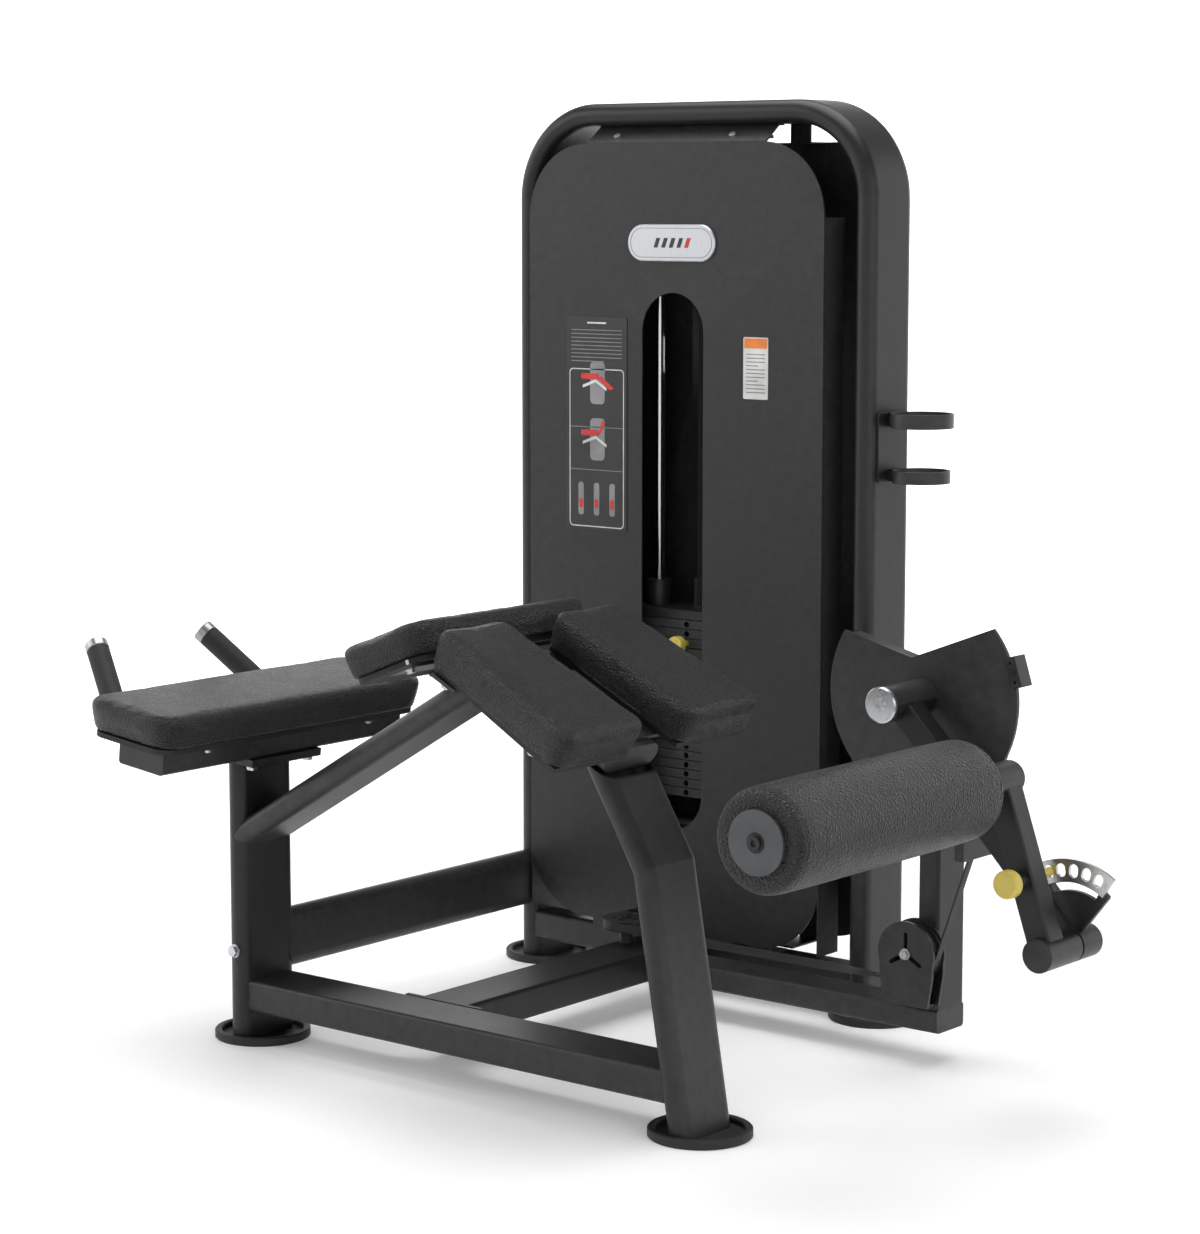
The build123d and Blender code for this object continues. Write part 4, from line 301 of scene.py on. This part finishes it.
bronze = metal("bush_bronze", (0.50, 0.36, 0.18), 0.35, (1.0, 1.0, 1.0))
polished = metal("polished_aluminium", (0.34, 0.345, 0.35), 0.34, (1.0, 1.0, 1.0))
silver = metal("badge_silver", (0.50, 0.51, 0.53), 0.34, (60.0, 1.0, 1.0), 0.05)
placard_ground = plastic("placard_ground", (0.014, 0.014, 0.015), 0.35)
print_white = plastic("print_white", (0.62, 0.62, 0.60), 0.5)
print_grey = plastic("print_grey", (0.22, 0.22, 0.23), 0.5)
print_red = plastic("print_red", (0.55, 0.02, 0.018), 0.45)
print_dark = plastic("print_dark", (0.02, 0.02, 0.022), 0.5)
print_orange = plastic("print_orange", (0.75, 0.20, 0.03), 0.5)

coats = {
    frame_paint: [
        "arch_frame", "tower_base_beam", "head_post", "link_tube", "front_leg", "diagonal_beam",
        "pad_carrier", "front_rail", "cross_rail", "base_rail", "pivot_column", "lever_stop_bracket",
        "arm_pad_beam", "handle_tubes", "shroud_mounts", "cup_holder", "main_lever", "roller_arm",
        "pulley_housing", "belt_clamp",
    ],
    cover_paint: ["front_shroud", "rear_shroud"],
    cam_paint: ["cam_plate"],
    dark_paint: ["cam_drum", "stack_frame", "pulley_brackets"],
    cast: ["resting_plates", "lifted_plates", "head_plate"],
    rubber: ["rubber_feet", "rubber_bumpers"],
    grip_foam: ["handle_grips"],
    moulding: ["beam_caps", "guide_bushings", "column_pulley", "corner_pulley", "base_pulley", "top_pulley"],
    cap_grey: ["roller_core"],
    belt_black: ["drive_belt", "cam_belt", "stack_belt"],
    yellow: ["adjuster_knob", "selector_pin"],
    board_stain: ["pad_boards"],
    chrome: ["guide_rods"],
    satin_chrome: ["hub_cap"],
    bright_steel: ["pivot_shaft", "frame_bolts"],
    sector_steel: ["sector_plate"],
    bronze: ["pivot_bushes"],
    polished: ["handle_caps"],
    silver: ["badge"],
    placard_ground: ["placard"],
    print_white: ["side_label"],
}
for coat, names in coats.items():
    for name in names:
        target = nodes[name]
        target.data.materials.clear()
        target.data.materials.append(coat)


# ---------------------------------------------------------------- soft pads
def linked(name, mesh):
    thing = bpy.data.objects.new(name, mesh)
    bpy.context.scene.collection.objects.link(thing)
    return thing


def only_active(thing):
    for other in bpy.context.view_layer.objects:
        other.select_set(False)
    thing.select_set(True)
    bpy.context.view_layer.objects.active = thing


def apply_modifier(thing, name):
    only_active(thing)
    bpy.ops.object.modifier_apply(modifier=name)


def swell(thing, pressure, cap):
    """Inflates the skin with the cloth solver, and limits how far any point may go."""
    start = [vertex.co.copy() for vertex in thing.data.vertices]
    cloth = thing.modifiers.new("cloth", "CLOTH")
    cloth.settings.use_pressure = True
    cloth.settings.uniform_pressure_force = pressure
    cloth.settings.effector_weights.gravity = 0.0
    cloth.settings.quality = 6
    cloth.settings.mass = 0.3
    cloth.settings.tension_stiffness = 60.0
    cloth.settings.compression_stiffness = 60.0
    cloth.settings.bending_stiffness = 12.0
    cloth.point_cache.frame_start = 1
    cloth.point_cache.frame_end = 20
    scene = bpy.context.scene
    for number in range(1, 21):
        scene.frame_set(number)
    apply_modifier(thing, "cloth")
    scene.frame_set(1)
    for vertex, origin in zip(thing.data.vertices, start):
        step = vertex.co - origin
        if step.length > cap:
            vertex.co = origin + step.normalized() * cap


def make_pad(node, name, body, slope, shrink=0.0012, pressure=4.0, cap=0.0016, draft=0.035, crown=0.0025):
    """A sewn pad in the place of a plain CAD pad. slope turns the pad's plane about Y."""
    mesh = nodes[node].data.copy()
    pad = linked(name, mesh)
    mesh.materials.clear()
    mesh.materials.append(upholstery)
    work = bmesh.new()
    work.from_mesh(mesh)
    bmesh.ops.remove_doubles(work, verts=work.verts, dist=0.00005)
    work.to_mesh(mesh)
    work.free()
    remesh = pad.modifiers.new("remesh", "REMESH")
    remesh.mode = "VOXEL"
    remesh.voxel_size = 0.004
    remesh.use_smooth_shade = True
    apply_modifier(pad, "remesh")
    relax = pad.modifiers.new("relax", "SMOOTH")
    relax.factor = 0.5
    relax.iterations = 6
    apply_modifier(pad, "relax")
    mesh = pad.data
    level = Matrix.Rotation(-slope, 4, "Y")
    mesh.transform(level)
    places = [vertex.co for vertex in mesh.vertices]
    low = Vector([min(place[i] for place in places) for i in range(3)])
    high = Vector([max(place[i] for place in places) for i in range(3)])
    middle = (low + high) / 2
    thick = high.z - low.z
    normals = [vertex.normal.copy() for vertex in mesh.vertices]
    for vertex, normal in zip(mesh.vertices, normals):
        vertex.co = vertex.co - normal * shrink
    for vertex in mesh.vertices:
        rise = min(1.0, max(0.0, (vertex.co.z - low.z) / thick))
        inward = 1.0 - draft * (1.0 - rise) ** 1.5
        vertex.co.x = middle.x + (vertex.co.x - middle.x) * inward
        vertex.co.y = middle.y + (vertex.co.y - middle.y) * inward
    swell(pad, pressure, cap)
    mesh = pad.data
    for vertex in mesh.vertices:
        rise = min(1.0, max(0.0, (vertex.co.z - low.z) / thick))
        across_x = (vertex.co.x - middle.x) / (high.x - low.x) * 2
        across_y = (vertex.co.y - middle.y) / (high.y - low.y) * 2
        bulge = max(0.0, 1.0 - across_x ** 2) * max(0.0, 1.0 - across_y ** 2)
        waver = noise.noise(vertex.co * 14.0) * 0.0006
        if rise > 0.6:
            vertex.co.z += crown * bulge + waver
        vertex.co.z = min(max(vertex.co.z, low.z + 0.0004), high.z + 0.003)
    mesh.transform(level.inverted())
    smooth = pad.modifiers.new("smooth", "SUBSURF")
    smooth.levels = 1
    smooth.render_levels = 1
    for face in mesh.polygons:
        face.use_smooth = True
    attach(pad, body)
    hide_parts(node)
    return pad


ARM_SLOPE = math.radians(6.5)
THIGH_SLOPE = math.radians(26.0)
CHEST_SLOPE = math.radians(-21.0)
arm_pad = make_pad("arm_pad", "arm_cushion", "frame", ARM_SLOPE)
chest_pad = make_pad("chest_pad", "chest_cushion", "frame", CHEST_SLOPE)
near_pad = make_pad("near_thigh_pad", "near_thigh_cushion", "frame", THIGH_SLOPE)
far_pad = make_pad("far_thigh_pad", "far_thigh_cushion", "frame", THIGH_SLOPE)


def turned(name, centre, profile, segments, material, body, wrinkle=0.0):
    """A lathe-turned piece about the Y direction through centre; profile is (y, radius)."""
    mesh = bpy.data.meshes.new(name)
    work = bmesh.new()
    rings = []
    for y, radius in profile:
        ring = []
        for step in range(segments):
            turn = 2 * math.pi * step / segments
            seed = Vector((math.cos(turn) * 2.2, y * 9.0, math.sin(turn) * 2.2))
            ripple = noise.noise(seed) * wrinkle
            here = radius + ripple
            ring.append(work.verts.new((centre.x + here * math.cos(turn), y, centre.z + here * math.sin(turn))))
        rings.append(ring)
    for first, second in zip(rings, rings[1:]):
        for step in range(segments):
            after = (step + 1) % segments
            work.faces.new((first[step], first[after], second[after], second[step]))
    for step in range(segments):
        after = (step + 1) % segments
        work.faces.new((rings[-1][step], rings[-1][after], rings[0][after], rings[0][step]))
    bmesh.ops.recalc_face_normals(work, faces=work.faces)
    work.to_mesh(mesh)
    work.free()
    for face in mesh.polygons:
        face.use_smooth = True
    mesh.materials.append(material)
    thing = linked(name, mesh)
    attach(thing, body)
    return thing


# The roller's cover: slightly barrelled foam, rounded ends with a sewn ring and a dished face.
foam_low, foam_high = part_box("roller_foam")
foam_low, foam_high = Vector(foam_low), Vector(foam_high)
foam_middle = (foam_low + foam_high) / 2
FOAM_R = (foam_high.z - foam_low.z) / 2
FOAM_HALF = (foam_high.y - foam_low.y) / 2
half_profile = [
    (-0.0060, 0.0235),
    (-0.0022, 0.0290),
    (-0.0010, 0.0430),
    (0.0000, 0.0520),
    (0.0000, 0.0590),
    (-0.0006, 0.0632),
    (-0.0020, 0.0665),
    (-0.0044, 0.0693),
    (-0.0078, 0.0713),
    (-0.0112, 0.0722),
    (-0.0128, 0.0716),
    (-0.0144, 0.0724),
    (-0.0190, 0.0731),
    (-0.0300, 0.0736),
    (-0.0600, 0.0739),
    (-0.1000, 0.0741),
    (-0.1600, 0.0742),
    (-0.2200, 0.0743),
]
near_end = [(foam_middle.y - FOAM_HALF - inset, radius) for inset, radius in half_profile]
far_end = [(foam_middle.y + FOAM_HALF + inset, radius) for inset, radius in reversed(half_profile)]
roller_profile = near_end + far_end
roller_cover = turned("roller_cover", foam_middle, roller_profile, 128, roller_skin, "roller", 0.0005)
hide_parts("roller_foam")


# ---------------------------------------------------------------- belt over the weights
lift_belt = linked("lift_belt", nodes["stack_belt"].data.copy())
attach(lift_belt, "lifted_stack")
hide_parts("stack_belt")
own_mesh(lift_belt)


# ---------------------------------------------------------------- printed details
def prism(name, outline, y_face, depth, material, body="frame"):
    """A thin raised print: outline points are (x, z), its face stands depth before y_face."""
    mesh = bpy.data.meshes.new(name)
    work = bmesh.new()
    back = [work.verts.new((x, y_face, z)) for x, z in outline]
    front = [work.verts.new((x, y_face - depth, z)) for x, z in outline]
    count = len(outline)
    work.faces.new(front)
    work.faces.new(list(reversed(back)))
    for step in range(count):
        after = (step + 1) % count
        work.faces.new((back[step], back[after], front[after], front[step]))
    bmesh.ops.recalc_face_normals(work, faces=work.faces)
    work.to_mesh(mesh)
    work.free()
    mesh.materials.append(material)
    thing = linked(name, mesh)
    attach(thing, body)
    return thing


def joined(name, parts):
    """Several prints made into one piece."""
    only_active(parts[0])
    for part in parts:
        part.select_set(True)
    bpy.ops.object.join()
    parts[0].name = name
    return parts[0]


def rectangle(x0, z0, x1, z1):
    return [(x0, z0), (x1, z0), (x1, z1), (x0, z1)]


def rounded(x0, z0, x1, z1, radius, steps=6):
    points = []
    for cx, cz, start in (
        (x1 - radius, z0 + radius, -90),
        (x1 - radius, z1 - radius, 0),
        (x0 + radius, z1 - radius, 90),
        (x0 + radius, z0 + radius, 180),
    ):
        for step in range(steps + 1):
            turn = math.radians(start + 90 * step / steps)
            points.append((cx + radius * math.cos(turn), cz + radius * math.sin(turn)))
    return points


def ring_outline(x0, z0, x1, z1, radius, width):
    """Four bars and corners approximated by nested rounded outlines."""
    outer = rounded(x0, z0, x1, z1, radius)
    inner = rounded(x0 + width, z0 + width, x1 - width, z1 - width, max(0.0005, radius - width))
    return outer, inner


def frame_print(name, x0, z0, x1, z1, radius, width, y_face, depth, material, body="frame"):
    outer, inner = ring_outline(x0, z0, x1, z1, radius, width)
    mesh = bpy.data.meshes.new(name)
    work = bmesh.new()
    rings = []
    for outline, y in ((outer, y_face), (outer, y_face - depth), (inner, y_face - depth), (inner, y_face)):
        rings.append([work.verts.new((x, y, z)) for x, z in outline])
    count = len(outer)
    for first, second in zip(rings, rings[1:] + rings[:1]):
        for step in range(count):
            after = (step + 1) % count
            work.faces.new((first[step], first[after], second[after], second[step]))
    bmesh.ops.recalc_face_normals(work, faces=work.faces)
    work.to_mesh(mesh)
    work.free()
    mesh.materials.append(material)
    thing = linked(name, mesh)
    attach(thing, body)
    return thing


placard_low, placard_high = [Vector(corner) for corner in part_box("placard")]
PRINT = 0.0003
face = placard_low.y
left, right = placard_low.x, placard_high.x
bottom, top = placard_low.z, placard_high.z
width = right - left
frame_print("placard_border", left + 0.006, bottom + 0.005, right - 0.006, top - 0.088, 0.008, 0.0018, face, PRINT,
            print_white)
lines = []
for row in range(9):
    z = top - 0.022 - row * 0.0066
    length = width * (0.84 if row < 8 else 0.55)
    lines.append(prism(f"line_{row}", rectangle(left + 0.010, z - 0.0014, left + 0.010 + length, z), face, PRINT, print_grey))
lines.append(prism("heading", rectangle(left + 0.045, top - 0.012, right - 0.045, top - 0.009), face, PRINT, print_white))
for share in (0.36, 0.63):
    z = bottom + 0.005 + (top - bottom - 0.093) * share
    lines.append(prism("divider", rectangle(left + 0.008, z, right - 0.008, z + 0.0012), face, PRINT, print_grey))
joined("placard_lines", lines)
shapes = []
reds = []
for cell, share in enumerate((0.83, 0.50)):
    z = bottom + (top - bottom) * share * 0.80 + 0.01
    cx = (left + right) / 2
    shapes.append(prism("tower", rounded(cx - 0.014, z - 0.036, cx + 0.018, z + 0.036, 0.008), face, PRINT, print_grey))
    shapes.append(prism("bench", [(cx - 0.030, z - 0.004), (cx - 0.002, z + 0.006), (cx + 0.022, z - 0.008),
                                  (cx + 0.022, z - 0.013), (cx - 0.002, z + 0.001), (cx - 0.030, z - 0.009)],
                        face - PRINT, PRINT, print_white))
    reds.append(prism("back", rounded(cx - 0.034, z + 0.006, cx + 0.006, z + 0.016, 0.004), face - PRINT, PRINT, print_red))
    tip = 0.030 if cell == 0 else 0.012
    reds.append(prism("shin", [(cx + 0.004, z + 0.006), (cx + 0.010, z + 0.012), (cx + tip + 0.008, z + (0.030 if cell else -0.008)),
                               (cx + tip, z + (0.032 if cell else -0.012))], face - PRINT, PRINT, print_red))
for column in range(3):
    cx = left + width * (0.24 + 0.26 * column)
    z = bottom + 0.055
    shapes.append(prism("torso", rounded(cx - 0.006, z - 0.030, cx + 0.006, z + 0.026, 0.005), face, PRINT, print_grey))
    reds.append(prism("thigh", rounded(cx - 0.004, z - 0.018, cx + 0.004, z - 0.002, 0.0035), face - PRINT, PRINT, print_red))
joined("placard_shapes", shapes)
joined("placard_red_marks", reds)

label_low, label_high = [Vector(corner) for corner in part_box("side_label")]
label_lines = []
prism("label_band", rectangle(label_low.x + 0.002, label_high.z - 0.018, label_high.x - 0.002, label_high.z - 0.002),
      label_low.y, PRINT, print_orange)
for row in range(11):
    z = label_high.z - 0.027 - row * 0.0062
    end = label_high.x - (0.006 if row % 4 != 3 else 0.020)
    label_lines.append(prism(f"small_line_{row}", rectangle(label_low.x + 0.006, z - 0.0016, end, z),
                             label_low.y, PRINT, print_grey))
joined("label_lines", label_lines)

badge_low, badge_high = [Vector(corner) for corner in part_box("badge")]
badge_cz = (badge_low.z + badge_high.z) / 2
badge_cx = (badge_low.x + badge_high.x) / 2
frame_print("badge_line", badge_low.x + 0.006, badge_low.z + 0.006, badge_high.x - 0.006, badge_high.z - 0.006,
            0.0242, 0.0010, badge_low.y, PRINT, print_grey)
bars = []
for number in range(5):
    x = badge_cx - 0.036 + number * 0.016
    tint = print_red if number == 4 else print_dark
    bars.append(prism(f"bar_{number}", [(x, badge_cz - 0.008), (x + 0.008, badge_cz - 0.008),
                                        (x + 0.014, badge_cz + 0.008), (x + 0.006, badge_cz + 0.008)],
                      badge_low.y, PRINT, tint))
joined("badge_marks", bars)

# ---------------------------------------------------------------- studio
floor_mesh = bpy.data.meshes.new("floor")
floor_work = bmesh.new()
FLAT_RADIUS, COVE_RADIUS, WALL_TOP, SEGMENTS = 14.0, 4.0, 9.0, 64
profile = [(0.5, 0.0), (3.0, 0.0), (7.0, 0.0), (FLAT_RADIUS, 0.0)]
for step in range(1, 9):
    turn = math.radians(90 * step / 8)
    profile.append((FLAT_RADIUS + COVE_RADIUS * math.sin(turn), COVE_RADIUS * (1 - math.cos(turn))))
profile.append((FLAT_RADIUS + COVE_RADIUS, WALL_TOP))
rings = []
for radius, z in profile:
    ring = []
    for step in range(SEGMENTS):
        turn = 2 * math.pi * step / SEGMENTS
        ring.append(floor_work.verts.new((radius * math.cos(turn), radius * math.sin(turn), z)))
    rings.append(ring)
floor_work.faces.new(rings[0])
for first, second in zip(rings, rings[1:]):
    for step in range(SEGMENTS):
        after = (step + 1) % SEGMENTS
        floor_work.faces.new((first[step], second[step], second[after], first[after]))
floor_work.to_mesh(floor_mesh)
floor_work.free()
for polygon in floor_mesh.polygons:
    polygon.use_smooth = True
floor_material, floor_tree, floor_shader = new_material("studio_floor")
floor_tone = ramp(floor_tree, add_noise(floor_tree, texture_space(floor_tree), 1.5, 3.0),
                  ((0.3, (0.90, 0.90, 0.90)), (0.7, (0.93, 0.93, 0.93))))
floor_tree.links.new(floor_tone, floor_shader.inputs["Base Color"])
floor_shader.inputs["Roughness"].default_value = 0.75
floor_shader.inputs["Emission Color"].default_value = (1.0, 1.0, 1.0, 1.0)
floor_place = texture_space(floor_tree)
reach = floor_tree.nodes.new("ShaderNodeVectorMath")
reach.operation = "LENGTH"
floor_tree.links.new(floor_place, reach.inputs[0])
heading = floor_tree.nodes.new("ShaderNodeVectorMath")
heading.operation = "DOT_PRODUCT"
heading.inputs[1].default_value = (-0.631, 0.775, 0.0)
unit = floor_tree.nodes.new("ShaderNodeVectorMath")
unit.operation = "NORMALIZE"
floor_tree.links.new(floor_place, unit.inputs[0])
floor_tree.links.new(unit.outputs["Vector"], heading.inputs[0])


def eased(value, low, high, start, finish):
    node = floor_tree.nodes.new("ShaderNodeMapRange")
    node.interpolation_type = "SMOOTHSTEP"
    for socket, number in zip(list(node.inputs)[1:5], (low, high, start, finish)):
        socket.default_value = number
    floor_tree.links.new(value, node.inputs["Value"])
    return node.outputs["Result"]


# Painted light: the floor glows brighter behind the object, along the main camera's heading, and further out, standing
# in for a lamp on the backdrop. The 0.18 base is an even glow.
behind = eased(heading.outputs["Value"], -0.1, 0.75, 0.22, 0.80)
outward = eased(reach.outputs["Value"], 1.2, 5.0, 0.0, 1.0)
glow = combine(floor_tree, "ADD", combine(floor_tree, "MULTIPLY", behind, outward), 0.18)
floor_tree.links.new(glow, floor_shader.inputs["Emission Strength"])
floor_mesh.materials.append(floor_material)
studio_floor = linked("studio_floor", floor_mesh)


def soft_light(name, location, target, size, power, tint=(1.0, 1.0, 1.0)):
    data = bpy.data.lights.new(name, "AREA")
    data.shape = "RECTANGLE"
    data.size = size[0]
    data.size_y = size[1]
    data.energy = power
    data.color = tint
    light = bpy.data.objects.new(name, data)
    light.location = location
    aim = Vector(target) - Vector(location)
    light.rotation_euler = aim.to_track_quat("-Z", "Y").to_euler()
    bpy.context.scene.collection.objects.link(light)
    return light


soft_light("overhead", (-0.2, 0.4, 4.2), (0.0, 0.0, 0.3), (3.6, 3.6), 170.0)
soft_light("key", (-3.4, -2.6, 2.8), (0.0, 0.0, 0.7), (2.2, 2.8), 44.0)
soft_light("fill", (4.2, -1.0, 1.8), (0.2, 0.0, 0.6), (2.4, 2.6), 22.0)

world = bpy.data.worlds.new("studio_world")
world.use_nodes = True
world.node_tree.nodes["Background"].inputs["Color"].default_value = (1.0, 1.0, 1.0, 1.0)
world.node_tree.nodes["Background"].inputs["Strength"].default_value = 0.14
bpy.context.scene.world = world
bpy.context.scene.view_settings.view_transform = "Standard"
